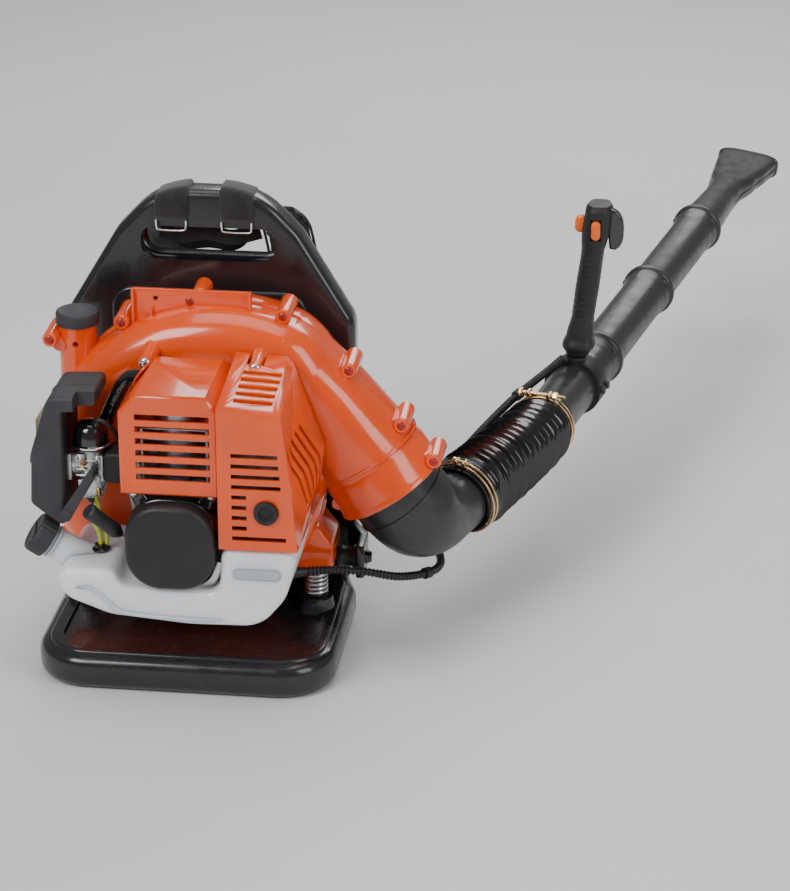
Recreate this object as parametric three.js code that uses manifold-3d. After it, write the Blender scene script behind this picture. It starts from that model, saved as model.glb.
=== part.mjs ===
// Backpack leaf blower: a two-stroke engine and a centrifugal fan on a moulded backpack frame,
// with an elbow, a ribbed hose, three tubes, a flared nozzle and a control handle.
// Millimetres, +Z up, +Y towards the wearer's front, +X to the wearer's right.
// The origin lies on the underside of the foot, below the split plane of the fan case.
import * as THREE from "three";
import { mergeVertices } from "three/addons/utils/BufferGeometryUtils.js";
import Module from "manifold-3d";

const wasm = await Module();
wasm.setup();

// ---- driving dimensions -------------------------------------------------------------------
const GAP = 0.35; // between pieces that touch
const CRANK = { x: 2, z: 199 }; // crankshaft axis, along Y
const WALL = 3; // moulded covers and casings

const FRAME = { half: 165, height: 507, front: 77, back: 115, foot: 40, footFront: -160 };
const HAND_HOLE = { half: 85, low: 420, high: 473, corner: 24 };
const WRAP = { shift: -3, apart: 37, half: 19.5 }; // webbing round the top bar
const PAD = { half: 115, low: 110, high: 395, thick: 24 };

const CASE = { front: -55, back: 60, round: 36, inlet: 66, mouth: 60 };
const OUTLET = { x: 217, z: 195, dir: new THREE.Vector3(0.547, 0, -0.837).normalize(), radius: 63 };
const MOUNT = { right: 130, left: -140, springLow: 56, springHigh: 92, side: 152 };

const CYLINDER = { y: -119, base: 244, top: 332, bore: 22 };
const COVER = { front: -185, back: -70, left: -52, right: 54.6, top: 367, low: 252 };
const SHROUD = { front: -195, back: -63, left: 55.2, low: 198 };
const CARB = { x: -95, y: -125, z: 262 };
const FILTER = { front: -160, back: -78, inner: -119 };
const TANK = { front: -195, back: -68, top: 196 };
const STARTER = { front: -202, split: -180, back: -155, half: 49 };

// Air path: the tubes lie on one straight line, the hose bends between it and the elbow.
const ELBOW_END = new THREE.Vector3(285, 70, 150);
const ELBOW_DIR = new THREE.Vector3(0.42, 0.9, 0.15).normalize();
const TUBE_START = new THREE.Vector3(370, 270, 170);
const TUBE_DIR = new THREE.Vector3(0.23, 0.9726, 0.0332).normalize();
const TUBE_SIDE = new THREE.Vector3(0, 0, 1).cross(TUBE_DIR).negate().normalize();
const TUBE_UP = new THREE.Vector3().crossVectors(TUBE_SIDE, TUBE_DIR).normalize();
const TUBES = { ends: [210, 450, 696], radii: [30.5, 29.6, 28.8], neck: 27.6, socket: 26, wall: 2.2 };
const NOZZLE = { length: 285, throat: 150, wide: 44, high: 17 };
const HANDLE = { at: 120, x: 397, y: 388, low: 200, high: 404, lean: 24, forward: 12 };

// ---- small geometry kit -------------------------------------------------------------------
const v3 = (x, y, z) => new THREE.Vector3(x, y, z);
const Y_UP = v3(0, 1, 0);
const Z_UP = v3(0, 0, 1);

// A closed geometry as a manifold-3d solid, turned right side out if its rings ran backwards.
function solid(geometry) {
  const bare = geometry.clone();
  for (const name of Object.keys(bare.attributes)) if (name !== "position") bare.deleteAttribute(name);
  const merged = mergeVertices(bare, 1e-4);
  const triVerts = new Uint32Array(merged.index.array);
  const build = () =>
    new wasm.Manifold(
      new wasm.Mesh({ numProp: 3, vertProperties: merged.attributes.position.array, triVerts }),
    );
  const made = build();
  if (made.volume() > 0) return made;
  for (let i = 0; i < triVerts.length; i += 3)
    [triVerts[i + 1], triVerts[i + 2]] = [triVerts[i + 2], triVerts[i + 1]];
  return build();
}

function geometryOf(made) {
  const m = made.getMesh();
  const points = new Float32Array(m.numVert * 3);
  for (let i = 0; i < m.numVert; i++)
    points.set(m.vertProperties.subarray(i * m.numProp, i * m.numProp + 3), i * 3);
  return new THREE.BufferGeometry()
    .setAttribute("position", new THREE.BufferAttribute(points, 3))
    .setIndex(new THREE.BufferAttribute(new Uint32Array(m.triVerts), 1));
}

const join = (...list) => list.flat(2).reduce((a, b) => a.add(b));
const cut = (body, ...list) => list.flat(2).reduce((a, b) => a.subtract(b), body);

function box(x0, y0, z0, x1, y1, z1) {
  const g = new THREE.BoxGeometry(x1 - x0, y1 - y0, z1 - z0);
  return solid(g.translate((x0 + x1) / 2, (y0 + y1) / 2, (z0 + z1) / 2));
}

// A turned piece: profile points are [radius, distance along dir from base].
function turned(profile, base, dir, sides = 16) {
  const pts = profile.map(([r, h]) => new THREE.Vector2(r, h));
  const g = new THREE.LatheGeometry(pts, sides);
  g.applyQuaternion(new THREE.Quaternion().setFromUnitVectors(Y_UP, dir.clone().normalize()));
  return solid(g.translate(base.x, base.y, base.z));
}

function rod(a, b, r0, r1 = r0, sides = 12) {
  const along = b.clone().sub(a);
  const profile = [[0, 0], [r0, 0], [r1, along.length()], [0, along.length()]];
  return turned(profile, a, along, sides);
}

// A pipe along dir: outer profile [radius, distance], bored out by a straight or stepped bore.
const pipe = (outer, inner, base, dir, sides = 16) =>
  cut(turned(outer, base, dir, sides), turned(inner, base, dir, sides));

// A plain sleeve from distance low to high along dir.
const sleeve = (outer, inner, low, high, base, dir, sides = 16) =>
  pipe(
    [[0, low], [outer, low], [outer, high], [0, high]],
    [[0, low - 1], [inner, low - 1], [inner, high + 1], [0, high + 1]],
    base,
    dir,
    sides,
  );

// An outline with its corners rounded by true arcs: points are [x, y, corner radius].
function rounded(points) {
  const shape = new THREE.Shape();
  points.forEach(([x, y, r = 0], i) => {
    const here = new THREE.Vector2(x, y);
    const [px, py] = points[(i + points.length - 1) % points.length];
    const [nx, ny] = points[(i + 1) % points.length];
    const back = new THREE.Vector2(px, py).sub(here);
    const ahead = new THREE.Vector2(nx, ny).sub(here);
    const room = 0.48 * Math.min(back.length(), ahead.length());
    const turn = Math.PI - Math.abs(Math.acos(back.clone().normalize().dot(ahead.clone().normalize())));
    const reach = Math.min(r * Math.tan(turn / 2), room);
    const enter = here.clone().addScaledVector(back.normalize(), reach);
    if (reach < 0.2) {
      if (i) shape.lineTo(x, y);
      else shape.moveTo(x, y);
      return;
    }
    const radius = reach / Math.tan(turn / 2);
    const inward = back.clone().add(ahead.normalize()).normalize();
    const centre = here.clone().addScaledVector(inward, radius / Math.cos(turn / 2));
    const leave = here.clone().addScaledVector(ahead, reach);
    const angle = (p) => Math.atan2(p.y - centre.y, p.x - centre.x);
    const first = angle(enter);
    if (i && !shape.curves.length)
      shape.lineTo(centre.x + radius * Math.cos(first), centre.y + radius * Math.sin(first));
    shape.absarc(centre.x, centre.y, radius, first, angle(leave), back.cross(ahead) > 0);
  });
  shape.closePath();
  return shape;
}

const mirrored = (half) => [...half, ...half.map(([x, y, r]) => [-x, y, r]).reverse()];
const rectangle = (x0, y0, x1, y1, r) => [[x0, y0, r], [x1, y0, r], [x1, y1, r], [x0, y1, r]];

// An outline extruded from low to high along +Z, its rims rounded by bevel and its walls moved in by inset.
function extruded(shape, low, high, bevel, { segments = 1, curve = 1, inset = 0 }) {
  return new THREE.ExtrudeGeometry(shape, {
    depth: high - low - 2 * bevel,
    curveSegments: curve,
    bevelEnabled: bevel > 0,
    bevelThickness: bevel,
    bevelSize: bevel,
    bevelOffset: -bevel - inset,
    bevelSegments: segments,
  });
}

// A plate with rounded edges whose outline lies in XZ, from y0 to y1.
const slabXZ = (shape, y0, y1, bevel = 0, finish = {}) =>
  solid(extruded(shape, y0, y1, bevel, finish).rotateX(Math.PI / 2).translate(0, y1 - bevel, 0));

// The same with its outline in XY, from z0 to z1.
const slabXY = (shape, z0, z1, bevel = 0, finish = {}) =>
  solid(extruded(shape, z0, z1, bevel, finish).translate(0, 0, z0 + bevel));

// A round cord or bar along a smooth curve.
function cord(points, radius, steps, sides = 8) {
  const section = new THREE.Shape();
  section.absarc(0, 0, radius, 0, 2 * Math.PI);
  const extrudePath = new THREE.CatmullRomCurve3(points, false, "centripetal");
  const finish = { steps, curveSegments: sides / 2, bevelEnabled: false, extrudePath };
  return solid(new THREE.ExtrudeGeometry(section, finish));
}

// A ring of points on a superellipse, power 2 being an ellipse and larger powers squarer.
function ring(centre, u, v, a, b, sides, power = 2) {
  const bend = (c) => Math.sign(c) * Math.abs(c) ** (2 / power);
  return Array.from({ length: sides }, (_, i) => {
    const t = ((i + 0.5) / sides) * 2 * Math.PI;
    const across = centre.clone().addScaledVector(u, a * bend(Math.cos(t)));
    return across.addScaledVector(v, b * bend(Math.sin(t)));
  });
}

// A closed skin over rings that all have the same number of points.
function loft(rings) {
  const n = rings[0].length;
  const points = rings.flat();
  const index = [];
  for (let k = 0; k + 1 < rings.length; k++)
    for (let i = 0; i < n; i++) {
      const a = k * n + i;
      const b = k * n + ((i + 1) % n);
      index.push(a, b, b + n, a, b + n, a + n);
    }
  [[0, true], [(rings.length - 1) * n, false]].forEach(([first, flip]) => {
    const middle = points.length;
    points.push(points.slice(first, first + n).reduce((s, p) => s.add(p), v3(0, 0, 0)).divideScalar(n));
    for (let i = 0; i < n; i++) {
      const [a, b] = [first + i, first + ((i + 1) % n)];
      index.push(middle, ...(flip ? [b, a] : [a, b]));
    }
  });
  return solid(new THREE.BufferGeometry().setFromPoints(points).setIndex(index));
}

// Rings along a curve, each square to it: at(t) gives [half width, half height, power].
function along(curve, stations, at, sides, side = v3(1, 0, 0)) {
  return stations.map((t) => {
    const dir = curve.getTangent(t);
    const u = side.clone().addScaledVector(dir, -side.dot(dir)).normalize();
    const v = new THREE.Vector3().crossVectors(dir, u);
    const [a, b, power] = at(t);
    return ring(curve.getPoint(t), u, v, a, b, sides, power);
  });
}

const blower = new THREE.Group();

function add(name, made, color, roughness = 0.5, metalness = 0, parent = blower) {
  const material = new THREE.MeshStandardMaterial({ color, roughness, metalness });
  const mesh = new THREE.Mesh(geometryOf(made), material);
  mesh.name = name;
  parent.add(mesh);
  return mesh;
}

const BLACK = 0x17181a;
const ORANGE = 0xea5322;
const SILVER = 0xb9bcc0;
const STEEL = 0x8f9296;
const CHARCOAL = 0x2b2c2e;

// ---- backpack frame -----------------------------------------------------------------------
function backpackFrame() {
  const { half, height, front, back, foot, footFront } = FRAME;
  const panel = rounded(
    mirrored([[150, 8, 0], [half, 90, 30], [half, 358, 34], [104, 459, 24], [58, height, 34]]),
  );
  const { half: holeHalf, low, high, corner } = HAND_HOLE;
  panel.holes.push(rounded(rectangle(-holeHalf, low, holeHalf, high, corner)));
  const base = rounded(
    mirrored([[168, footFront, 62], [168, 62, 40], [150, back, 12]]),
  );
  const body = join(slabXZ(panel, front, back, 6), slabXY(base, 0, foot, 11));
  const seats = [MOUNT.left, MOUNT.right].map((x) =>
    rod(v3(x, 0, foot - 4), v3(x, 0, MOUNT.springLow - GAP), 22, 19, 16),
  );
  const hollow = slabXZ(rounded(mirrored([[156, 60], [158, 355], [122, 410]])), front + 4, back - 4);
  const footHollow = box(-152, footFront + 14, 5, 152, front + 10, foot - 5);
  const vent = rod(v3(0, footFront + 50, -1), v3(0, footFront + 50, 8), 5, 5, 8);
  const wingOutline = rounded([
    [174, 8, 4], [184, 8, 4], [184, 50, 10], [160, 92, 5], [150, 88, 5], [174, 45, 8],
  ]);
  const wing = slabXY(wingOutline, 74, 114, 1.5);
  const shell = cut(body, hollow, footHollow, box(-140, front + 4, 20, 140, back - 5, 80), vent);
  return join(shell, seats, wing, rod(v3(183, 26, 94), v3(191, 26, 94), 9, 6, 12));
}

function backPad() {
  const outline = rounded(rectangle(-PAD.half, PAD.low, PAD.half, PAD.high, 40));
  return slabXZ(outline, FRAME.back + GAP, FRAME.back + PAD.thick, 8);
}

// A padded strap from the top bar to the bottom of the panel.
const strapPath = (s) =>
  new THREE.CatmullRomCurve3([
    v3(s * 60, 128, 452), v3(s * 63, 150, 462), v3(s * 68, 192, 440), v3(s * 76, 214, 380),
    v3(s * 84, 214, 300), v3(s * 96, 196, 210), v3(s * 108, 160, 130), v3(s * 116, 124, 82),
  ]);

function shoulderStrap(s) {
  const stations = Array.from({ length: 12 }, (_, i) => i / 11);
  const width = (t) => 14 + 16 * Math.min(1, Math.sin(Math.PI * Math.min(1, t * 1.02)) * 1.8);
  const rings = along(strapPath(s), stations, (t) => [width(t), t > 0.72 ? 3 : 6, 4], 8);
  return loft(rings);
}

function strapWrap(s) {
  const { front, back, height } = FRAME;
  const { shift, apart, half } = WRAP;
  const [low, high, x] = [HAND_HOLE.high, height, shift + s * apart];
  const outer = box(x - half, front - 5, low - 5, x + half, back + 5, high + 5);
  return cut(outer, box(x - half - 2, front - GAP, low - GAP, x + half + 2, back + GAP, high + GAP));
}

// ---- anti-vibration mounts ----------------------------------------------------------------
function mountSpring(x) {
  const base = v3(x, 0, MOUNT.springLow);
  const tall = MOUNT.springHigh - MOUNT.springLow;
  return sleeve(13.5, 10.5, 0, tall, base, Z_UP);
}

const sideBuffer = () =>
  turned([[0, GAP], [15, GAP], [15, 3], [11.5, 5], [11.5, 17], [14, 19], [14, 22 - GAP], [0, 22 - GAP]],
    v3(MOUNT.side, 26, 94), v3(1, 0, 0), 16);

// ---- fan case -----------------------------------------------------------------------------
const onAxis = (y) => v3(CRANK.x, y, CRANK.z);
const SCROLL_START = -10; // degrees from +X; the scroll opens clockwise seen from -Y
const SCROLL_TURN = 291;
const scrollRadius = (turn) => 141 + 0.06 * turn + 0.00075 * turn * turn;

function scrollOutline(inset) {
  const steps = 20;
  const shape = new THREE.Shape();
  for (let i = 0; i <= steps; i++) {
    const turn = (SCROLL_TURN * i) / steps;
    const angle = THREE.MathUtils.degToRad(SCROLL_START - turn);
    const r = scrollRadius(turn) - inset;
    const [x, z] = [CRANK.x + r * Math.cos(angle), CRANK.z + r * Math.sin(angle)];
    if (i) shape.lineTo(x, z);
    else shape.moveTo(x, z);
  }
  shape.closePath();
  return shape;
}

// Sections of the duct from the end of the scroll to the collar of the outlet.
function duct(inset, extra) {
  const middle = (CASE.front + CASE.back) / 2;
  const flow = v3(0.673, 0, -0.74);
  const across = v3(0.74, 0, 0.673);
  const half = (CASE.back - CASE.front) / 2;
  const squareTo = (dir) => v3(-dir.z, 0, dir.x).normalize();
  const end = v3(OUTLET.x, middle, OUTLET.z).addScaledVector(OUTLET.dir, -36);
  const at = (x, z, w, h, power, dir = across) =>
    ring(v3(x, middle, z), dir, Y_UP, w - inset, h - inset, 14, power);
  const side = squareTo(OUTLET.dir);
  return loft([
    at(75, 356, 55, half, 4),
    at(106, 323, 56, half, 3.6),
    at(138, 291, 57, half + 1, 2.9),
    at(172, 254, 58, half + 3, 2.3, across.clone().lerp(side, 0.5).normalize()),
    ring(end, side, Y_UP, 60.5 - inset, 60.5 - inset, 14),
    ring(end.clone().addScaledVector(OUTLET.dir, extra), side, Y_UP, 60.5 - inset, 60.5 - inset, 14),
  ]);
}

// Screw bosses round the rim, as [x, z, front end]. The top one stands behind the plate.
const BOSSES = [
  [-160, 363], [-79, 387], [6, 417, -12], [101, 402], [173, 342], [231, 280], [267, 239], [171, 177],
];
const TOWER = { x: -134, low: 290, high: 374, radius: 21 };

function fanCase() {
  const { front, back, round } = CASE;
  const middle = (front + back) / 2;
  const centre = v3(OUTLET.x, middle, OUTLET.z);
  const outer = join(
    slabXZ(scrollOutline(0), front, back, round, { segments: 2 }),
    duct(0, 2),
    turned([[0, -40], [60, -40], [OUTLET.radius, -34], [OUTLET.radius, -3], [65, -3], [65, 0], [0, 0]],
      centre, OUTLET.dir, 16),
    rod(v3(TOWER.x, 0, TOWER.low), v3(TOWER.x, 0, TOWER.high), TOWER.radius, TOWER.radius, 12),
    lobe(1),
    lobe(-1),
    topPlate(),
    COVER_SCREWS.map(([x, z]) => rod(v3(x, -88, z), v3(x, front + 8, z - 1), 6.5, 9, 10)),
    BOSSES.map(([x, z, from = -28]) => rod(v3(x, from, z), v3(x, 22, z), 8.5, 8.5, 6)),
    box(-160, -12, 356, -148, 12, 370),
    box(1, -10, 400, 11, 20, 414),
    box(-83, -12, 374, -75, 12, 388),
  );
  const inner = join(
    slabXZ(scrollOutline(WALL), front + WALL, back - WALL, round - WALL, { segments: 2 }),
    duct(WALL, 4),
    rod(centre.clone().addScaledVector(OUTLET.dir, -34), centre.clone().addScaledVector(OUTLET.dir, 5),
      CASE.mouth, CASE.mouth, 16),
  );
  return cut(outer, inner, rod(v3(-133, -30, 356), v3(-133, -10, 356), 3.5, 3.5, 8));
}

// The foot of the case that stands on a spring.
function lobe(s) {
  const low = MOUNT.springHigh + GAP;
  const outline = [
    [84, 150, 8], [134, 150, 14], [MOUNT.side, 126, 14], [MOUNT.side, low, 8], [104, low, 8],
  ];
  const shape = rounded(outline.map(([x, z, r]) => [s > 0 ? x : -x - 10, z, r]));
  return slabXZ(shape, -20, 44);
}

const half = (body, from, to) => body.intersect(box(-300, from, -100, 500, to, 600));

function topPlate() {
  const plate = box(-68, -16, 372, 64, -11, 424);
  const ribs = [-46, -22, 2, 26, 48].map((x) => box(x - 1, -21, 374, x + 1, -15, 404));
  const hole = rod(v3(-42, -20, 413), v3(-42, -5, 413), 3.4, 3.4, 8);
  return cut(join(plate, ribs, box(-60, -14, 380, 56, -GAP, 392)), hole);
}

const COVER_SCREWS = [[-40, 367], [80, 366]];

function fanCaseFront(whole) {
  const opening = rod(onAxis(CASE.front - 5), onAxis(CASE.front + 6), CASE.mouth);
  return cut(half(whole, -200, -GAP / 2), opening);
}

function fanCaseRear(whole) {
  const { back, inlet } = CASE;
  const grille = 4;
  const hub = rod(onAxis(back - grille), onAxis(back), 18, 18, 12);
  const rib = sleeve(44, 41, back - grille, back, onAxis(0), Y_UP, 12);
  const spokes = [0, 60, 120].map((angle) => {
    const spoke = box(-inlet - 2, back - grille, -1.5, inlet + 2, back, 1.5);
    return spoke.rotate([0, angle, 0]).translate([CRANK.x, 0, CRANK.z]);
  });
  const opening = rod(onAxis(back - 6), onAxis(back + 5), inlet, inlet, 18);
  return join(cut(half(whole, GAP / 2, 200), opening), hub, rib, spokes);
}

const towerCap = () =>
  turned([[0, GAP], [24, GAP], [24, 13], [22, 16], [0, 16]], v3(TOWER.x, 0, TOWER.high), Z_UP, 20);

// ---- rotor --------------------------------------------------------------------------------
const SHAFT = 8;

function impeller() {
  const blades = Array.from({ length: 12 }, (_, i) => {
    const turn = (360 * i) / 12;
    const blade = box(66, -31, -1.2, 124, 26, 1.2).rotate([0, turn, 0]);
    return blade.translate([CRANK.x, 0, CRANK.z]);
  });
  const profile = [
    [0, -36], [26, -36], [125, -33.5], [125, -31], [40, -29], [24, 4], [24, -34], [0, -34],
  ];
  const plate = turned(profile, onAxis(0), Y_UP, 28);
  return cut(join(plate, blades), rod(onAxis(-60), onAxis(60), SHAFT + GAP, SHAFT + GAP, 16));
}

function flywheel() {
  const rim = turned([[0, 0], [50, 0], [50, 13], [0, 13]], onAxis(-51), Y_UP, 28);
  return cut(rim, rod(onAxis(-70), onAxis(0), SHAFT + GAP, SHAFT + GAP, 16));
}

function crankshaft() {
  const pin = (y, r, z) => rod(v3(CRANK.x, y, CRANK.z + z), v3(CRANK.x, y + 9, CRANK.z + z), r, r, 12);
  const web = (y) => rod(onAxis(y), onAxis(y + 8), 29, 29, 18);
  return join(rod(onAxis(-153), onAxis(-130), SHAFT), web(-131), pin(-123.5, 7, 15), web(-115),
    rod(onAxis(-108), onAxis(36), SHAFT));
}

// ---- engine -------------------------------------------------------------------------------
const SPLIT = CYLINDER.y;

function crankcase(front) {
  const pad = box(-32, -151, 215, 36, -87, CYLINDER.base - GAP);
  const barrel = rod(onAxis(-152), onAxis(-60), 43, 43, 20);
  const flange = rod(onAxis(-61), onAxis(CASE.front - GAP), 72, 72, 20);
  const room = rod(onAxis(-135), onAxis(-103), 33, 33, 16);
  const throat = rod(v3(CRANK.x, SPLIT, 205), v3(CRANK.x, SPLIT, 260), CYLINDER.bore + 1);
  const shaftHole = rod(onAxis(-170), onAxis(-40), SHAFT + 0.5, SHAFT + 0.5, 16);
  const whole = cut(join(pad, barrel, flange), room, throat, shaftHole);
  return front ? half(whole, -200, SPLIT - GAP / 2) : half(whole, SPLIT + GAP / 2, 0);
}

function cylinder() {
  const { y, base, top, bore } = CYLINDER;
  const fins = Array.from({ length: 6 }, (_, i) => {
    const z = base + 14 + i * 12;
    return box(CRANK.x - 43, y - 42, z, CRANK.x + 43, y + 40, z + 2.4);
  });
  const body = join(
    box(-31, -150, base, 35, -88, base + 6),
    rod(v3(CRANK.x, y, base + 2), v3(CRANK.x, y, top), 28, 28, 12),
    rod(alongPlug(-12), alongPlug(8.5), 10, 10, 10),
    fins,
    box(-46, -141, 250, -20, -109, 288),
    box(20, -135, 254, 56, -103, 284),
  );
  const boreHole = rod(v3(CRANK.x, y, base - 5), v3(CRANK.x, y, top - 12), bore, bore, 16);
  const intakePort = rod(v3(-60, -125, 268), v3(-15, -125, 268), 10);
  const exhaustPort = rod(v3(20, y, 269), v3(70, y, 269), 9);
  const plugHole = rod(alongPlug(-5), alongPlug(12), 5.5, 5.5, 8);
  const plugSeat = rod(alongPlug(8.6), alongPlug(20), 10, 10, 8);
  return cut(body, boreHole, intakePort, exhaustPort, plugHole, plugSeat);
}

const piston = () =>
  cut(
    rod(v3(CRANK.x, SPLIT, 252), v3(CRANK.x, SPLIT, 290), CYLINDER.bore - 0.8, CYLINDER.bore - 0.8, 16),
    rod(v3(CRANK.x, SPLIT, 245), v3(CRANK.x, SPLIT, 284), CYLINDER.bore - 4, CYLINDER.bore - 4, 12),
  );

const PLUG = { seat: v3(-6, -110, 333), dir: v3(-0.8, 0.25, 0.5).normalize() };
const alongPlug = (d) => PLUG.seat.clone().addScaledVector(PLUG.dir, d);
const BOOT_ROUTE = [alongPlug(20), alongPlug(38), v3(-60, -91, 347), v3(-76, -92, 320), v3(-86, -92, 296)];

const sparkPlug = () =>
  turned([[0, -4], [5, -4], [5, 9], [9, 9], [9, 15], [5.5, 16], [5.5, 30], [3, 31], [3, 36], [0, 36]],
    PLUG.seat, PLUG.dir, 12);

// The rubber elbow over the plug, with the high-tension lead that runs down to the fan case.
function plugLead() {
  const lead = [v3(-85, -92, 299), v3(-92, -88, 276), v3(-87, -74, 258), v3(-78, -58, 252)];
  const socket = rod(alongPlug(14), alongPlug(37), 6, 6, 10);
  return cut(join(cord(BOOT_ROUTE, 8.2, 8, 10), cord(lead, 3.4, 8)), socket);
}

function ignitionCoil() {
  const made = join(box(53, -51, -13, 62, -38, 13), box(60, -51, -9, 84, -40, 9));
  return made.rotate([0, -128, 0]).translate([CRANK.x, 0, CRANK.z]);
}

function cylinderCover() {
  const { front, back, left, right, top, low } = COVER;
  const points = (d) => [
    [left + d, low - (d ? 10 : 0)], [right - d, low - (d ? 10 : 0)], [right - d, 350 - d * 0.6],
    [42 - d * 0.3, top - d], [-33 + d * 0.3, top - d], [left + d, 346 - d * 0.6],
  ];
  const outer = slabXZ(rounded(points(0)), front, back, 2.5);
  const inner = slabXZ(rounded(points(WALL)), front + WALL, back + 5);
  const slots = Array.from({ length: 6 }, (_, i) => {
    const z = 270 + i * 13.6;
    return box(-34, front - 2, z, 46, front + 9, z + 7);
  });
  const plugWay = cord(BOOT_ROUTE, 10.5, 6, 10);
  const exhaust = box(right - 6, -138, 248, right + 2, -100, 289);
  const post = rod(v3(COVER_SCREWS[0][0], -88 - GAP, 367), v3(COVER_SCREWS[0][0], -40, 366), 7.2, 10.5, 10);
  const intake = box(left - 3, -152, 243, left + 6, -98, 298);
  const ear = rod(v3(COVER_SCREWS[0][0], -92, 366), v3(COVER_SCREWS[0][0], -88 - GAP, 366), 8, 8, 10);
  return cut(join(outer, ear), inner, slots, plugWay, intake, exhaust, post,
    rod(v3(COVER_SCREWS[0][0], -100, 366), v3(COVER_SCREWS[0][0], -80, 366), 2.6, 2.6, 8));
}

// The shroud round the muffler. Its right side leans and bulges, so it is a loft of two outlines.
function shroudSkin(d, front, back) {
  const section = (y, pts) => pts.map(([x, z]) => v3(x, y, z));
  const e = d * 1.1;
  const low = SHROUD.low + d;
  const left = SHROUD.left + d;
  return loft([
    section(front, [
      [left, low], [140 - e, low], [134 - e, 270], [124 - e, 350 - e], [118 - e, 355 - d], [left, 358 - d],
    ]),
    section(back, [
      [left, low], [143 - e, low], [151 - e, 268], [118 - e, 362 - e], [111 - e, 370 - d], [left, 373 - d],
    ]),
  ]);
}

function mufflerCover() {
  const { front, back } = SHROUD;
  const outer = shroudSkin(0, front, back);
  const inner = shroudSkin(WALL, front + WALL, back + 6);
  const slots = Array.from({ length: 9 }, (_, i) => {
    const z = 209 + i * 11.9;
    const right = 128 - i;
    return box(70, front - 2, z, i > 0 && i < 5 ? 86 : right, front + 9, z + 5);
  });
  const topSlots = Array.from({ length: 5 }, (_, i) => {
    const y = -174 + i * 16;
    return box(70, y, 340, 112, y + 7, 380);
  });
  const louvres = Array.from({ length: 5 }, (_, i) => {
    const slot = box(118, -3, -44, 160, 3, 44).rotate([28, 0, 0]);
    return slot.translate([0, -162 + i * 18, 270]);
  });
  const tail = rod(v3(107, front - 3, 243), v3(107, front + 12, 243), 13.5, 13.5, 16);
  const exhaust = box(SHROUD.left - 2, -138, 248, SHROUD.left + 6, -100, 289);
  const [screwX, screwZ] = COVER_SCREWS[1];
  const ear = rod(v3(screwX, -93, screwZ - 1), v3(screwX, -88 - GAP, screwZ - 1), 8, 8, 10);
  return cut(join(outer, ear), inner, slots, topSlots, louvres, tail, exhaust,
    rod(v3(screwX, -100, screwZ - 1), v3(screwX, -80, screwZ - 1), 2.6, 2.6, 8),
    rod(v3(screwX, -88 - GAP, screwZ), v3(screwX, -40, screwZ), 10, 12, 12));
}

function muffler() {
  const can = slabXZ(rounded(rectangle(62, 214, 118, 322, 14)), -172, -84, 6);
  const hollow = box(70, -168, 226, 110, -88, 310);
  const tail = v3(107, -196, 243);
  const outlet = sleeve(12, 8, 0, 26, tail, Y_UP);
  const flange = box(57.5, -132, 256, 64, -106, 282);
  const way = rod(v3(tail.x, -180, tail.z), v3(tail.x, -160, tail.z), 8, 8, 16);
  return cut(join(cut(can, hollow), outlet, flange), way);
}

// ---- intake side --------------------------------------------------------------------------
function intakeBlock() {
  const body = slabXZ(rounded(rectangle(-79, 246, -46 - GAP, 280, 6)), -145, -105, 2);
  return cut(body, rod(v3(-90, -125, 262), v3(-40, -125, 266), 9, 9, 10));
}

function carburettor() {
  const { x, y, z } = CARB;
  const barrel = rod(v3(FILTER.inner + GAP, y, z), v3(-79 - GAP, y, z), 14, 14, 12);
  const flanges = [v3(-84, y, z), v3(FILTER.inner + GAP, y, z)].map((p) =>
    box(p.x, y - 18, z - 15, p.x + 4.5, y + 18, z + 15),
  );
  const column = rod(v3(x, y, 240), v3(x, y, 281 - GAP), 15, 15, 14);
  const bowl = box(x - 12, y - 14, 225, x + 12, y + 14, 244);
  const nipple = rod(v3(-88, -136, 230), v3(-88, -140, 223), 2, 2, 8);
  const bore = rod(v3(-130, y, z), v3(-70, y, z), 9, 9, 12);
  const slideBore = rod(v3(x, y, 246), v3(x, y, 290), 10.5, 10.5, 14);
  const bulbRecess = rod(v3(x, y, 220), v3(x, y, 230), 9.9, 9.9, 14);
  return cut(join(barrel, flanges, column, bowl, nipple), bore, slideBore, bulbRecess);
}

const throttleSlide = () => rod(v3(CARB.x, CARB.y, 250), v3(CARB.x, CARB.y, 274), 10, 10, 14);

function carburettorTop() {
  const { x, y } = CARB;
  const profile = [[0, 0], [20, 0], [20.5, 5], [19, 18], [13, 28], [5, 31], [0, 31]];
  const springRoom = rod(v3(x, y, 278), v3(x, y, 296), 11, 11, 14);
  return cut(turned(profile, v3(x, y, 281), Z_UP, 20), springRoom);
}

// A flat lever on a pin that stands out of the carburettor.
const CHOKE = { pivot: v3(-88, -166, 262), tip: v3(-121, -166, 208) };

function chokeLever() {
  const reach = CHOKE.tip.clone().sub(CHOKE.pivot);
  const bar = box(-5.5, -1.5, -reach.length(), 5.5, 1.5, 5);
  const lean = THREE.MathUtils.radToDeg(Math.atan2(-reach.x, -reach.z));
  const turnedBar = bar.rotate([0, lean, 0]).translate([CHOKE.pivot.x, CHOKE.pivot.y, CHOKE.pivot.z]);
  const hub = rod(v3(-88, -167.5, 262), v3(-88, -144, 262), 4, 4, 10);
  return join(turnedBar, hub);
}

function primerBulb() {
  const profile = [[0, GAP], [9, GAP], [9, 3], [7.5, 8], [4, 11], [0, 12]];
  return turned(profile, v3(CARB.x, CARB.y, 225), v3(0, 0, -1), 14);
}

const filterOutline = () =>
  rounded([
    [FILTER.inner, 201, 8], [FILTER.inner, 331, 3], [-86, 334, 4], [-86, 350, 5], [-134, 348, 12],
    [-154, 285, 12], [-157, 224, 9], [-127, 201, 9],
  ]);

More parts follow.
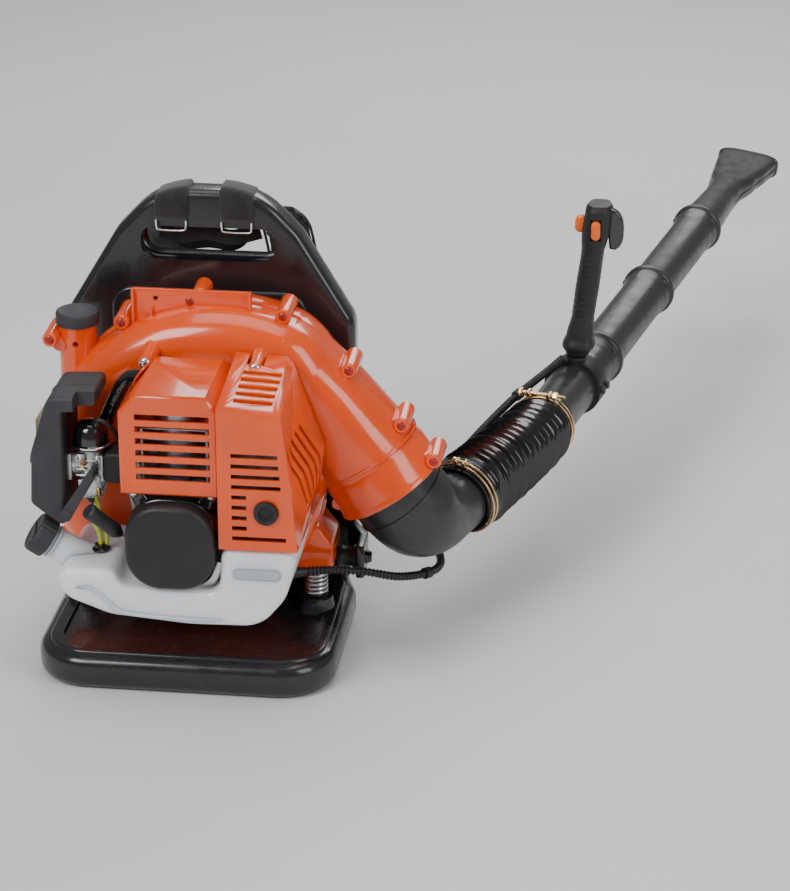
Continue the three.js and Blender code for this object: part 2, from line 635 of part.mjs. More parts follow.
function filterCover() {
  const { front, back, inner } = FILTER;
  const body = slabXZ(filterOutline(), front, back, 2);
  const notch = box(-106, front - 3, 330, -84, -140, 353);
  return cut(body, box(-150, front + 8, 213, inner + 2, back - 8, 322), notch);
}

function filterBase() {
  const { front, back, inner } = FILTER;
  const plate = box(inner - 6, front + 8 + GAP, 213 + GAP, inner, back - 8 - GAP, 322 - GAP);
  return cut(plate, rod(v3(-130, CARB.y, CARB.z), v3(-110, CARB.y, CARB.z), 9, 9, 12));
}

function filterElement() {
  const block = box(-149.5, -150, 216, FILTER.inner - 6 - GAP, -88, 319);
  return cut(block, rod(v3(-143, CARB.y, CARB.z), v3(-110, CARB.y, CARB.z), 14, 14, 14));
}

// ---- fuel ---------------------------------------------------------------------------------
const NECK = { from: v3(-114, -142, 158), dir: v3(-0.8, -0.16, 0.58).normalize(), length: 33 };

const tankOutline = () =>
  rounded([
    [-124, 165, 13], [-120, 131, 40], [-66, 111, 60], [22, 104, 200], [98, 106, 40], [126, 140, 50],
    [140, TANK.top, 12], [57, TANK.top, 12], [54, 146, 14], [-54, 146, 14], [-62, 165, 14],
  ]);

function fuelTank() {
  const skin = (d) => slabXZ(tankOutline(), TANK.front + d, TANK.back - d, 8 - d, { inset: d });
  const neckEnd = NECK.from.clone().addScaledVector(NECK.dir, NECK.length);
  const neck = rod(NECK.from, neckEnd, 18, 17, 14);
  const mouth = rod(NECK.from, neckEnd.clone().addScaledVector(NECK.dir, 4), 14, 14, 14);
  const hoseHole = rod(v3(GROMMET.x, GROMMET.y, 150), v3(GROMMET.x, GROMMET.y, 180), 6, 6, 8);
  return cut(join(skin(0), neck), skin(2.5), mouth, hoseHole);
}

function fuelCap() {
  const base = NECK.from.clone().addScaledVector(NECK.dir, NECK.length + GAP);
  return turned([[0, 0], [22, 0], [22.5, 3], [22.5, 17], [20.5, 20], [0, 20]], base, NECK.dir, 18);
}

const GROMMET = { x: -85, y: -142, z: 165.4 };

function tankGrommet() {
  const { x, y, z } = GROMMET;
  const profile = [[0, 0], [10, 0], [10, 3], [7, 7], [0, 7]];
  const hoseWay = rod(v3(x, y, z - 5), v3(x, y, z + 25), 3.6, 3.6, 8);
  return cut(turned(profile, v3(x, y, z), Z_UP, 14), hoseWay);
}

const FUEL_HOSE = [
  v3(-85, -142, 166), v3(-85, -142, 173), v3(-86, -143, 186), v3(-91, -145, 200), v3(-91, -144.5, 212),
  v3(-88.5, -141.5, 221.5),
];

// ---- recoil starter -----------------------------------------------------------------------
const PULL = { exit: v3(-47, -169, 190), dir: v3(-0.55, -0.45, 0.7).normalize(), gap: 14, long: 54 };
const alongPull = (d) => PULL.exit.clone().addScaledVector(PULL.dir, d);

function starterOutline(grow) {
  const r = STARTER.half + grow;
  return rounded(rectangle(CRANK.x - r, CRANK.z - 2 - r, CRANK.x + r, CRANK.z - 2 + r, 38));
}

function starterHousing() {
  const { split, back } = STARTER;
  const body = slabXZ(starterOutline(0), split + GAP, back, 3, { curve: 2 });
  const arms = [-1, 1].map((s) => {
    const tip = v3(CRANK.x + s * 41, -168, 250);
    return join(rod(v3(CRANK.x + s * 28, -166, 226), tip, 9, 7, 8),
      rod(tip.clone().setY(-174), tip.clone().setY(-155), 7.5, 7.5, 10));
  });
  const room = rod(onAxis(split + 4), onAxis(back + 5), 37, 37, 20);
  const post = rod(onAxis(split + 2), onAxis(-160), 6, 6, 12);
  const way = rod(alongPull(-30), alongPull(12), 3.6, 3.6, 8);
  return cut(join(cut(join(body, arms), room), post), way);
}

const starterCover = () =>
  cut(slabXZ(starterOutline(-0.5), STARTER.front, STARTER.split, 6, { curve: 2 }),
    rod(onAxis(STARTER.front + 4), onAxis(STARTER.split + 2), 39, 39, 16));

function starterPulley() {
  const groove = [[0, 0], [33, 0], [33, 3], [28, 5], [28, 9], [33, 11], [33, 13], [0, 13]];
  const bore = [[0, -1], [6.5, -1], [6.5, 14], [0, 14]];
  return pipe(groove, bore, onAxis(-175), Y_UP, 18);
}

function starterGrip() {
  const { gap, long } = PULL;
  const profile = [[0, 0], [4, 0], [6, 5], [8.5, 10], [7.8, 30], [9, 50], [6, long], [0, long]];
  return turned(profile, alongPull(gap), PULL.dir, 14);
}

const starterRope = () => rod(alongPull(-3), alongPull(PULL.gap - GAP), 2, 2, 8);

// ---- air path -----------------------------------------------------------------------------
function elbowCurve() {
  const start = v3(OUTLET.x, (CASE.front + CASE.back) / 2, OUTLET.z).addScaledVector(OUTLET.dir, -26);
  return new THREE.CubicBezierCurve3(
    start,
    start.clone().addScaledVector(OUTLET.dir, 82),
    ELBOW_END.clone().addScaledVector(ELBOW_DIR, -58),
    ELBOW_END.clone().addScaledVector(ELBOW_DIR, 20),
  );
}

function elbow() {
  const curve = elbowCurve();
  const radius = (t) => 54.5 - 2 * t - 16.4 * THREE.MathUtils.smoothstep(t, 0.35, 0.88);
  const stations = Array.from({ length: 8 }, (_, i) => i / 7);
  const side = Y_UP.clone().cross(OUTLET.dir);
  const rings = (d) => along(curve, stations, (t) => [radius(t) - d, radius(t) - d, 2], 16, side);
  const [bore, ends] = [rings(WALL), [0, 1].map((t) => curve.getTangent(t))];
  bore.unshift(bore[0].map((p) => p.clone().addScaledVector(ends[0], -2)));
  bore.push(bore.at(-1).map((p) => p.clone().addScaledVector(ends[1], 2)));
  return cut(loft(rings(0)), loft(bore));
}

const HOSE = {
  curve: new THREE.CubicBezierCurve3(
    ELBOW_END,
    ELBOW_END.clone().addScaledVector(ELBOW_DIR, 80),
    TUBE_START.clone().addScaledVector(TUBE_DIR, -90),
    TUBE_START,
  ),
  ridges: 10,
  cuffStart: 0.1,
  cuffEnd: 0.9,
};

// The hose from t0 to t1 of its curve: plain cuffs at its ends and a zigzag of ridges between.
function hosePiece(t0, t1) {
  const { curve, ridges, cuffStart, cuffEnd } = HOSE;
  const ridge = (t) => 48.5 - 6 * t;
  const stations = [];
  if (t0 === 0) stations.push([0, 41.5], [cuffStart, 41.5]);
  for (let i = 0; i <= 2 * ridges; i++) {
    const t = cuffStart + ((cuffEnd - cuffStart) * (i + 0.5)) / (2 * ridges + 1);
    if (t > t0 && t < t1) stations.push([t, i % 2 ? ridge(t) : ridge(t) - 6]);
  }
  if (t1 === 1) stations.push([cuffEnd, 36], [1, 36]);
  const frames = (list, d) =>
    list.flatMap(([t, r]) => along(curve, [t], () => [r - d, r - d, 2], 12, TUBE_SIDE));
  const inside = [t0, t1].map((t) => [t, t < 0.3 ? 38.6 : t > 0.7 ? 34.6 : 36.5]);
  const steps = [0, 0.25, 0.5, 0.75, 1].map((k) => {
    const t = t0 + (t1 - t0) * k;
    return [t, inside[0][1] + (inside[1][1] - inside[0][1]) * k];
  });
  const bore = frames(steps, 0);
  const ends = [t0, t1].map((t) => curve.getTangent(t));
  bore.unshift(bore[0].map((p) => p.clone().addScaledVector(ends[0], -3)));
  bore.push(bore.at(-1).map((p) => p.clone().addScaledVector(ends[1], 3)));
  return cut(loft(frames(stations, 0)), loft(bore));
}

function clampBand(t, radius, bolt) {
  const [at, dir] = [HOSE.curve.getPoint(t), HOSE.curve.getTangent(t)];
  const band = sleeve(radius + 2.2, radius, -5, 5, at, dir);
  if (!bolt) return band;
  const lift = at.clone().addScaledVector(TUBE_UP, radius + 4);
  const [from, to] = [-24, 24].map((d) => lift.clone().addScaledVector(TUBE_SIDE, d));
  return join(band, rod(from, to, 4, 4, 8));
}

const onTube = (s) => TUBE_START.clone().addScaledVector(TUBE_DIR, s);

// Each tube ends in a wider socket with a bead round its mouth; the next one starts inside it.
function tube(k) {
  const { ends, radii, neck, socket, wall } = TUBES;
  const [s0, s1] = [k ? ends[k - 1] - socket + 2 : -22, ends[k]];
  const r = radii[k];
  const next = (radii[k + 1] ?? neck * 1.02) + GAP;
  const start = k ? r : 32.6;
  const [shoulder, bead] = [next + wall, next + wall + 3.4];
  const outer = [
    [0, s0], [start, s0], [start, k ? s0 + 10 : 6], [r, k ? s0 + 20 : 14], [r, s1 - socket - 6],
    [shoulder, s1 - socket], [shoulder, s1 - 7], [bead, s1 - 6], [bead, s1], [0, s1],
  ];
  const inner = [
    [0, s0 - 1], [r - wall, s0 - 1], [r - wall, s1 - socket - 3], [next, s1 - socket],
    [next, s1 + 1], [0, s1 + 1],
  ];
  return pipe(outer, inner, TUBE_START, TUBE_DIR);
}

// A round neck, a throat, then a flat fishtail mouth, rolled a little about the tube's axis.
function nozzle() {
  const start = TUBES.ends[2];
  const roll = THREE.MathUtils.degToRad(6);
  const u = TUBE_SIDE.clone().multiplyScalar(Math.cos(roll)).addScaledVector(TUBE_UP, -Math.sin(roll));
  const v = new THREE.Vector3().crossVectors(u, TUBE_DIR).normalize();
  const { neck, socket } = TUBES;
  const sections = [
    [-socket + 2, neck, neck, 2], [4, neck, neck, 2], [40, neck - 0.6, neck - 0.6, 2],
    [110, 24, 23.5, 2], [NOZZLE.throat, 24.5, 21.5, 2.2], [200, 33, 19, 2.8], [250, 39.5, 17.6, 3.4],
    [NOZZLE.length, NOZZLE.wide, NOZZLE.high, 3.8],
  ];
  const skin = (d) =>
    sections.map(([s, a, b, power]) => ring(onTube(start + s), u, v, a - d, b - d, 16, power));
  const bore = skin(2);
  bore.unshift(bore[0].map((p) => p.clone().addScaledVector(TUBE_DIR, -2)));
  bore.push(bore.at(-1).map((p) => p.clone().addScaledVector(TUBE_DIR, 2)));
  return cut(loft(skin(0)), loft(bore));
}

// ---- control handle -----------------------------------------------------------------------
const handlePoint = (z) => {
  const t = (z - HANDLE.low) / (HANDLE.high - HANDLE.low);
  return v3(HANDLE.x + HANDLE.lean * t, HANDLE.y + HANDLE.forward * t, z);
};

function handleClamp() {
  const [r, s] = [TUBES.radii[0] * 1.02 + GAP, HANDLE.at];
  const band = sleeve(r + 4.5, r, -15, 15, onTube(s), TUBE_DIR);
  const foot = onTube(s).addScaledVector(TUBE_UP, r + 1.5);
  const saddle = cut(
    rod(foot.clone().addScaledVector(TUBE_UP, -12), foot.clone().addScaledVector(TUBE_UP, 5), 15, 13, 16),
    rod(onTube(s - 30), onTube(s + 30), r, r, 20),
  );
  return join(band, saddle);
}

// Sections of the grip: height, half width, half depth.
const GRIP_SECTIONS = [
  [214, 15, 17], [226, 20, 22], [238, 17, 19], [262, 15.5, 18], [330, 16, 19], [372, 17, 21],
  [398, 16.5, 21], [404, 13, 17],
];

function handleGrip() {
  const rings = GRIP_SECTIONS.map(([z, a, b]) => ring(handlePoint(z), v3(1, 0, 0), Y_UP, a, b, 16, 3));
  const at = handlePoint(375);
  const triggerSlot = box(at.x + 5, at.y - 8, 340, at.x + 30, at.y + 8, 401);
  const lockSlot = box(at.x - 30, at.y - 7, 366, at.x - 8, at.y + 7, 390);
  const switchSlot = box(at.x - 6.5, at.y - 30, 363, at.x + 6.5, at.y - 13, 389);
  return cut(loft(rings), triggerSlot, lockSlot, switchSlot);
}

// A curved finger lever that hangs from a pin near the top of the grip.
const TRIGGER_PIVOT = handlePoint(394).add(v3(13, 0, 0));

function trigger() {
  const [x, z] = [TRIGGER_PIVOT.x, TRIGGER_PIVOT.z];
  const shape = new THREE.Shape();
  shape.moveTo(x - 4, z + 5);
  shape.quadraticCurveTo(x + 20, z + 4, x + 18, z - 26);
  shape.quadraticCurveTo(x + 18, z - 44, x + 6, z - 48);
  shape.lineTo(x + 1, z - 46);
  shape.quadraticCurveTo(x - 2, z - 20, x - 4, z + 5);
  return slabXZ(shape, TRIGGER_PIVOT.y - 6.5, TRIGGER_PIVOT.y + 6.5, 1.5, { curve: 4 });
}

function throttleLock() {
  const at = handlePoint(377);
  const outline = rounded(rectangle(at.x - 26, 368, at.x - 13, 388, 5));
  return slabXZ(outline, at.y - 6, at.y + 6, 1.5);
}

function stopSwitch() {
  const at = handlePoint(376);
  const face = at.y - 20.5;
  const outline = rounded(rectangle(at.x - 5.5, 364.5, at.x + 5.5, 387.5, 5.4));
  return slabXZ(outline, face - 4, face + 6, 1.5, { curve: 2 });
}

// ---- control conduit ----------------------------------------------------------------------
// One route from the engine to the handle, parted where a clip holds it on the elbow and on the tube.
const CONDUIT = { radius: 4.8, sides: 8, clips: [4, 12] };
const CONDUIT_ROUTE = [
  v3(112, -58, 108), v3(140, -48, 109), v3(185, -34, 104), v3(226, -18, 92), v3(256, 8, 86),
  v3(268, 36, 84), v3(262, 70, 88), v3(246, 98, 110), v3(252, 132, 138), v3(270, 176, 154),
  v3(292, 224, 168), v3(314, 262, 182), v3(334, 292, 194), v3(352, 318, 202), v3(368, 344, 208),
  v3(382, 362, 216),
];

function conduit(first, last) {
  const { radius, sides } = CONDUIT;
  const curve = new THREE.CatmullRomCurve3(CONDUIT_ROUTE, false, "centripetal");
  const spans = CONDUIT_ROUTE.length - 1;
  const steps = 3 * (last - first);
  const at = (i) => curve.getPoint((first + ((last - first) * i) / steps) / spans);
  const points = Array.from({ length: steps + 1 }, (_, i) => at(i));
  [[0, 1], [-1, -2]].forEach(([end, near]) => {
    points.at(end).addScaledVector(points.at(near).clone().sub(points.at(end)).normalize(), GAP);
  });
  return cord(points, radius, steps, sides);
}

// ---- assembly -----------------------------------------------------------------------------
const whole = fanCase();
add("backpack_frame", backpackFrame(), BLACK, 0.35);
add("back_pad", backPad(), 0x1d1e20, 0.95);
[[-1, "left"], [1, "right"]].forEach(([s, side]) => {
  add(`shoulder_strap_${side}`, shoulderStrap(s), 0x1d1e20, 0.95);
  add(`strap_wrap_${side}`, strapWrap(s), 0x141416, 0.9);
  add(`mount_spring_${side}`, mountSpring(MOUNT[side]), SILVER, 0.25, 1);
});
add("side_buffer", sideBuffer(), BLACK, 0.6);
add("fan_case_front", fanCaseFront(whole), ORANGE, 0.35);
add("fan_case_rear", fanCaseRear(whole), ORANGE, 0.35);
add("tower_cap", towerCap(), CHARCOAL, 0.6);
add("impeller", impeller(), BLACK, 0.5);
add("flywheel", flywheel(), STEEL, 0.4, 1);
add("crankshaft", crankshaft(), STEEL, 0.3, 1);
add("crankcase_front", crankcase(true), SILVER, 0.5, 1);
add("crankcase_rear", crankcase(false), SILVER, 0.5, 1);
add("cylinder", cylinder(), SILVER, 0.45, 1);
add("piston", piston(), SILVER, 0.3, 1);
add("spark_plug", sparkPlug(), 0xe8e6e0, 0.3);
add("plug_lead", plugLead(), BLACK, 0.35);
add("ignition_coil", ignitionCoil(), BLACK, 0.5);
add("cylinder_cover", cylinderCover(), ORANGE, 0.35);
add("muffler_cover", mufflerCover(), ORANGE, 0.35);
add("muffler", muffler(), 0x3a3836, 0.6, 0.8);
add("intake_block", intakeBlock(), BLACK, 0.6);
add("carburettor", carburettor(), SILVER, 0.4, 1);
add("throttle_slide", throttleSlide(), SILVER, 0.3, 1);
add("carburettor_top", carburettorTop(), BLACK, 0.2);
add("choke_lever", chokeLever(), CHARCOAL, 0.5);
add("primer_bulb", primerBulb(), 0xc9c5b8, 0.4);
add("filter_cover", filterCover(), CHARCOAL, 0.7);
add("filter_base", filterBase(), BLACK, 0.6);
add("filter_element", filterElement(), 0x8a8678, 1);
add("fuel_tank", fuelTank(), 0xe9ecef, 0.35);
add("fuel_cap", fuelCap(), CHARCOAL, 0.6);
add("tank_grommet", tankGrommet(), BLACK, 0.5);
add("fuel_hose", cord(FUEL_HOSE, 3, 12), 0xc4c83a, 0.3);
add("starter_housing", starterHousing(), BLACK, 0.2);
add("starter_cover", starterCover(), BLACK, 0.7);
add("starter_pulley", starterPulley(), BLACK, 0.6);
add("starter_grip", starterGrip(), BLACK, 0.5);
add("starter_rope", starterRope(), 0xd8d6cf, 0.9);
add("elbow", elbow(), CHARCOAL, 0.4);
add("hose_lower", hosePiece(0, 0.499), BLACK, 0.2);
add("hose_upper", hosePiece(0.501, 1), BLACK, 0.2);
add("hose_clamp_lower", clampBand(0.045, 42.4, false), 0xc08a4a, 0.3, 1);
add("hose_clamp_upper", clampBand(0.95, 36.9, true), 0xc08a4a, 0.3, 1);
[1, 2, 3].forEach((k) => add(`tube_${k}`, tube(k - 1), CHARCOAL, 0.45));
add("nozzle", nozzle(), CHARCOAL, 0.45);
add("handle_clamp", handleClamp(), BLACK, 0.5);
add("handle_grip", handleGrip(), BLACK, 0.45);
add("throttle_trigger", trigger(), BLACK, 0.15);
add("throttle_lock", throttleLock(), 0xf06a1c, 0.4);
add("stop_switch", stopSwitch(), 0xf06a1c, 0.4);
const [clipA, clipB] = CONDUIT.clips;
add("control_conduit_engine", conduit(0, clipA), BLACK, 0.4);
add("control_conduit_hose", conduit(clipA, clipB), BLACK, 0.4);
add("control_conduit_handle", conduit(clipB, CONDUIT_ROUTE.length - 1), BLACK, 0.4);

export default blower;
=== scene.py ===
from math import atan2, copysign, cos, degrees, exp, pi, radians, sin, sqrt, tan

import bmesh
import bpy
from mathutils import Matrix, Vector as V


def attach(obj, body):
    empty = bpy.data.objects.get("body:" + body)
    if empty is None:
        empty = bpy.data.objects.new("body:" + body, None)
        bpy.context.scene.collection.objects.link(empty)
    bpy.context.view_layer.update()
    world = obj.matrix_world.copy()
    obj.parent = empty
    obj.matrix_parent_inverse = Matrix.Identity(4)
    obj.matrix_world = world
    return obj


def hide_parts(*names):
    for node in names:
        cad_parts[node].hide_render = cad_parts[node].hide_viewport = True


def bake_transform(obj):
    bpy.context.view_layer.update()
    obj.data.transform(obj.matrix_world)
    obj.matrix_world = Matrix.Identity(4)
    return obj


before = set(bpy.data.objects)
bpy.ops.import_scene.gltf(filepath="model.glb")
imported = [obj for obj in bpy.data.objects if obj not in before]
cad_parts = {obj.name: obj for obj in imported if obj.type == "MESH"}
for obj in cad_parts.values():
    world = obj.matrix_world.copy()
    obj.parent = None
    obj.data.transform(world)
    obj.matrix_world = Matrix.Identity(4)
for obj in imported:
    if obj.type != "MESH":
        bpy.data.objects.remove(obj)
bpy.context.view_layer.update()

# Shapes are built in millimetres, in the row frame, and scaled once when they become objects.
MM = 0.001
CRANK = V((2, 0, 199))
UP = V((0, 0, 1))
OUT = V((0, 1, 0))


# ---- camera --------------------------------------------------------------------------------
def make_camera():
    azimuth, elevation = radians(7), radians(23)
    level = cos(elevation)
    back = V((sin(azimuth) * level, -cos(azimuth) * level, sin(elevation)))
    right = V((cos(azimuth), sin(azimuth), 0))
    up = back.cross(right)
    data = bpy.data.cameras.new("camera")
    data.lens = 121.2
    data.clip_end = 50
    camera = bpy.data.objects.new("camera", data)
    camera.matrix_world = Matrix(
        ((right.x, up.x, back.x, 0), (right.y, up.y, back.y, 0), (right.z, up.z, back.z, 0), (0, 0, 0, 1))
    )
    camera.location = (0.5952, -3.0508, 1.5492)
    bpy.context.scene.collection.objects.link(camera)
    bpy.context.scene.camera = camera


make_camera()


# ---- node material kit ---------------------------------------------------------------------
class Nodes:
    """A material under construction: node(), link() and a few common chains."""

    def __init__(self, name, color, roughness, metallic=0.0, **sockets):
        self.material = bpy.data.materials.new(name)
        self.material.use_nodes = True
        self.tree = self.material.node_tree
        self.shader = self.tree.nodes["Principled BSDF"]
        self.set("Base Color", (*color, 1))
        self.set("Roughness", roughness)
        self.set("Metallic", metallic)
        for socket, value in sockets.items():
            self.set(socket.replace("_", " "), value)
        self.color = color
        self.coordinates = self.node("ShaderNodeTexCoord").outputs["Object"]
        self.height = None

    def set(self, socket, value):
        self.shader.inputs[socket].default_value = value

    def node(self, kind, **values):
        made = self.tree.nodes.new(kind)
        for key, value in values.items():
            if key in made.inputs:
                made.inputs[key].default_value = value
            else:
                setattr(made, key, value)
        return made

    def link(self, a, b):
        self.tree.links.new(a, b)

    def texture(self, kind, **values):
        made = self.node(kind, **values)
        self.link(self.coordinates, made.inputs["Vector"])
        return made.outputs["Fac"]

    def noise(self, scale, detail=4.0):
        return self.texture("ShaderNodeTexNoise", Scale=scale, Detail=detail)

    def wave(self, scale, direction):
        return self.texture("ShaderNodeTexWave", Scale=scale, bands_direction=direction)

    def ramp(self, fac, low, high, a, b):
        """a below low, b above high, as a colour or a grey value."""
        ramp = self.node("ShaderNodeValToRGB")
        as_color = lambda x: (*x, 1) if hasattr(x, "__len__") else (x, x, x, 1)
        ramp.color_ramp.elements[0].position, ramp.color_ramp.elements[0].color = low, as_color(a)
        ramp.color_ramp.elements[1].position, ramp.color_ramp.elements[1].color = high, as_color(b)
        self.link(fac, ramp.inputs["Fac"])
        return ramp.outputs["Color"]

    def bump(self, fac, depth_mm, strength=1.0):
        bump = self.node("ShaderNodeBump", Strength=strength, Distance=depth_mm * MM)
        self.link(fac, bump.inputs["Height"])
        if self.height is not None:
            self.link(self.height, bump.inputs["Normal"])
        self.height = bump.outputs["Normal"]
        self.link(self.height, self.shader.inputs["Normal"])
        return self

    def mottle(self, scale, darker, lighter, low=0.35, high=0.65):
        shade = lambda k: tuple(min(1, c * k) for c in self.color)
        self.link(
            self.ramp(self.noise(scale), low, high, shade(darker), shade(lighter)),
            self.shader.inputs["Base Color"]
        )
        return self

    def uneven(self, scale, low, high):
        self.link(self.ramp(self.noise(scale), 0.3, 0.7, low, high), self.shader.inputs["Roughness"])
        return self

def gloss_plastic(name, color, roughness, coat=0.5):
    made = Nodes(name, color, roughness, Coat_Weight=coat, Coat_Roughness=0.06, IOR=1.5)
    made.mottle(14, 0.93, 1.05).uneven(60, roughness * 0.75, roughness * 1.35)
    return made.bump(made.noise(35, 2), 0.05).bump(made.noise(900, 2), 0.008)


def matte_plastic(name, color, roughness, grain=0.05):
    made = Nodes(name, color, roughness, IOR=1.48)
    made.mottle(22, 0.85, 1.15).uneven(40, roughness * 0.85, min(1, roughness * 1.15))
    return made.bump(made.noise(1100, 3), grain)


def metal(name, color, roughness, grain=0.02, scale=500):
    made = Nodes(name, color, roughness, 1.0)
    made.mottle(50, 0.82, 1.08).uneven(120, roughness * 0.7, min(1, roughness * 1.5))
    return made.bump(made.noise(scale), grain)


def woven(name, color, thread, depth=0.12):
    """Plain weave: threads crossing at right angles, thread millimetres apart, with a dusty sheen."""
    made = Nodes(name, color, 0.92, Sheen_Weight=0.35, Sheen_Roughness=0.5)
    made.mottle(60, 0.7, 1.5)
    scale = 1000 / thread / 20
    warp, weft = made.wave(scale, "X"), made.wave(scale, "Z")
    return made.bump(warp, depth).bump(weft, depth).bump(made.noise(1500, 2), 0.05)


ORANGE = (0.86, 0.08, 0.001)
MATERIALS = {
    "frame_plastic": gloss_plastic("frame_plastic", (0.013, 0.013, 0.015), 0.24, 0.3),
    "pad_fabric": woven("pad_fabric", (0.018, 0.018, 0.02), 1.6),
    "webbing": woven("webbing", (0.011, 0.011, 0.012), 2.2, 0.25),
    "spring_steel": metal("spring_steel", (0.78, 0.79, 0.81), 0.14, 0.01),
    "black_rubber": matte_plastic("black_rubber", (0.013, 0.013, 0.014), 0.42, 0.02),
    "orange_shell": gloss_plastic("orange_shell", ORANGE, 0.2, 0.6),
    "charcoal_plastic": matte_plastic("charcoal_plastic", (0.036, 0.037, 0.041), 0.58, 0.05),
    "cast_alloy": metal("cast_alloy", (0.66, 0.67, 0.69), 0.34, 0.06, 420),
    "shaft_steel": metal("shaft_steel", (0.55, 0.55, 0.57), 0.28),
    "black_plastic": matte_plastic("black_plastic", (0.014, 0.014, 0.016), 0.5, 0.04),
    "muffler_steel": metal("muffler_steel", (0.2, 0.18, 0.16), 0.5, 0.05, 300),
    "gloss_black": gloss_plastic("gloss_black", (0.008, 0.008, 0.009), 0.1, 0.8),
    "filter_foam": matte_plastic("filter_foam", (0.24, 0.21, 0.15), 0.95, 0.4),
    "fuel_line": gloss_plastic("fuel_line", (0.5, 0.53, 0.05), 0.22, 0.3),
    "conduit_plastic": matte_plastic("conduit_plastic", (0.012, 0.012, 0.013), 0.36, 0.02),
    "rope_cord": woven("rope_cord", (0.62, 0.6, 0.54), 0.9, 0.2),
    "tube_plastic": gloss_plastic("tube_plastic", (0.026, 0.027, 0.029), 0.36, 0.12),
    "hose_rubber": gloss_plastic("hose_rubber", (0.009, 0.009, 0.01), 0.16, 0.5),
    "clamp_brass": metal("clamp_brass", (0.78, 0.53, 0.26), 0.26, 0.02),
    "signal_orange": matte_plastic("signal_orange", (0.88, 0.15, 0.02), 0.36, 0.02)
}


def translucent_tank():
    made = Nodes(
        "tank_plastic", (0.86, 0.88, 0.92), 0.3, IOR=1.5, Subsurface_Weight=0.7, Subsurface_Scale=0.02,
        Coat_Weight=0.35, Coat_Roughness=0.12
    )
    made.set("Subsurface Radius", (1.0, 0.85, 0.7))
    made.mottle(9, 0.93, 1.03).uneven(30, 0.24, 0.38)
    return made.bump(made.noise(25, 3), 0.12).bump(made.noise(800, 2), 0.02)


MATERIALS["tank_plastic"] = translucent_tank()

# ---- shape kit: a shape is (points in mm, faces) ---------------------------------------------


def merge(*shapes):
    points, faces = [], []
    for shape in shapes:
        for part in shape if isinstance(shape, list) else [shape]:
            base = len(points)
            points += part[0]
            faces += [tuple(i + base for i in face) for face in part[1]]
    return points, faces


def moved(shape, matrix):
    return [matrix @ p for p in shape[0]], shape[1]


def turned(shape, at, degrees):
    """Turned about Y, then moved to at."""
    return moved(shape, Matrix.Translation(V(at)) @ Matrix.Rotation(radians(degrees), 4, "Y"))


def loft(rings, around=False):
    """A skin over rings of equally many points, with end caps, or closed on itself."""
    n, count = len(rings[0]), len(rings)
    faces = []
    for k in range(count if around else count - 1):
        a, b = k * n, ((k + 1) % count) * n
        faces += [(a + i, a + (i + 1) % n, b + (i + 1) % n, b + i) for i in range(n)]
    if not around:
        faces += [tuple(reversed(range(n))), tuple(range((count - 1) * n, count * n))]
    return [p for ring in rings for p in ring], faces


def ring(centre, u, v, a, b=None, sides=48, power=2.0):
    bend = lambda c: copysign(abs(c) ** (2 / power), c)
    turns = [2 * pi * i / sides for i in range(sides)]
    return [centre + u * (a * bend(cos(t))) + v * ((b or a) * bend(sin(t))) for t in turns]


def frame_of(direction):
    direction = direction.normalized()
    helper = UP if abs(direction.z) < 0.9 else V((1, 0, 0))
    u = helper.cross(direction).normalized()
    return u, direction.cross(u)


def lathe(profile, base, direction, sides=48):
    """Turned about direction from base: profile points are (radius, distance)."""
    u, v = frame_of(V(direction))
    base, direction = V(base), V(direction).normalized()
    rings = [ring(base + direction * h, u, v, max(r, 0.02), sides=sides) for r, h in profile]
    return loft(rings)


def rod(a, b, radius, end_radius=None, sides=24, edge=0.6):
    a, b = V(a), V(b)
    length = (b - a).length
    end = radius if end_radius is None else end_radius
    return lathe(
        [(radius - edge, 0), (radius, edge), (end, length - edge), (end - edge, length)], a, b - a, sides
    )


def curve_points(points, count):
    """count points along a smooth curve through the given ones, evenly spaced."""
    points = [V(p) for p in points]
    padded = [2 * points[0] - points[1], *points, 2 * points[-1] - points[-2]]
    fine = []
    for i in range(1, len(padded) - 2):
        p0, p1, p2, p3 = padded[i - 1:i + 3]
        for k in range(24):
            t = k / 24
            fine.append(
                0.5 * (
                    2 * p1 + (p2 - p0) * t + (
                        2 * p0 - 5 * p1 + 4 * p2 - p3
                    ) * t * t + (3 * p1 - p0 - 3 * p2 + p3) * t ** 3
                )
            )
    fine.append(padded[-2])
    return resampled(fine, count)


def resampled(fine, count):
    lengths = [0.0]
    for a, b in zip(fine, fine[1:]):
        lengths.append(lengths[-1] + (b - a).length)
    out, k = [], 0
    for i in range(count):
        want = lengths[-1] * i / (count - 1)
        while k < len(fine) - 2 and lengths[k + 1] < want:
            k += 1
        span = max(lengths[k + 1] - lengths[k], 1e-9)
        out.append(fine[k].lerp(fine[k + 1], min(1, (want - lengths[k]) / span)))
    return out


def bezier(p0, p1, p2, p3, count):
    at = lambda t: (1 - t) ** 3 * p0 + 3 * t * (1 - t) ** 2 * p1 + 3 * t * t * (1 - t) * p2 + t ** 3 * p3
    return [at(i / (count - 1)) for i in range(count)]


def between(stops, at, eased=lambda start, end: True):
    """The values at a station, where each stop is (station, *values), eased between most stops."""
    for (start, *low), (end, *high) in zip(stops, stops[1:]):
        if at <= end + 1e-6:
            break
    f = min(1, max(0, (at - start) / (end - start)))
    if eased(start, end):
        f = f * f * (3 - 2 * f)
    return [p + (q - p) * f for p, q in zip(low, high)]


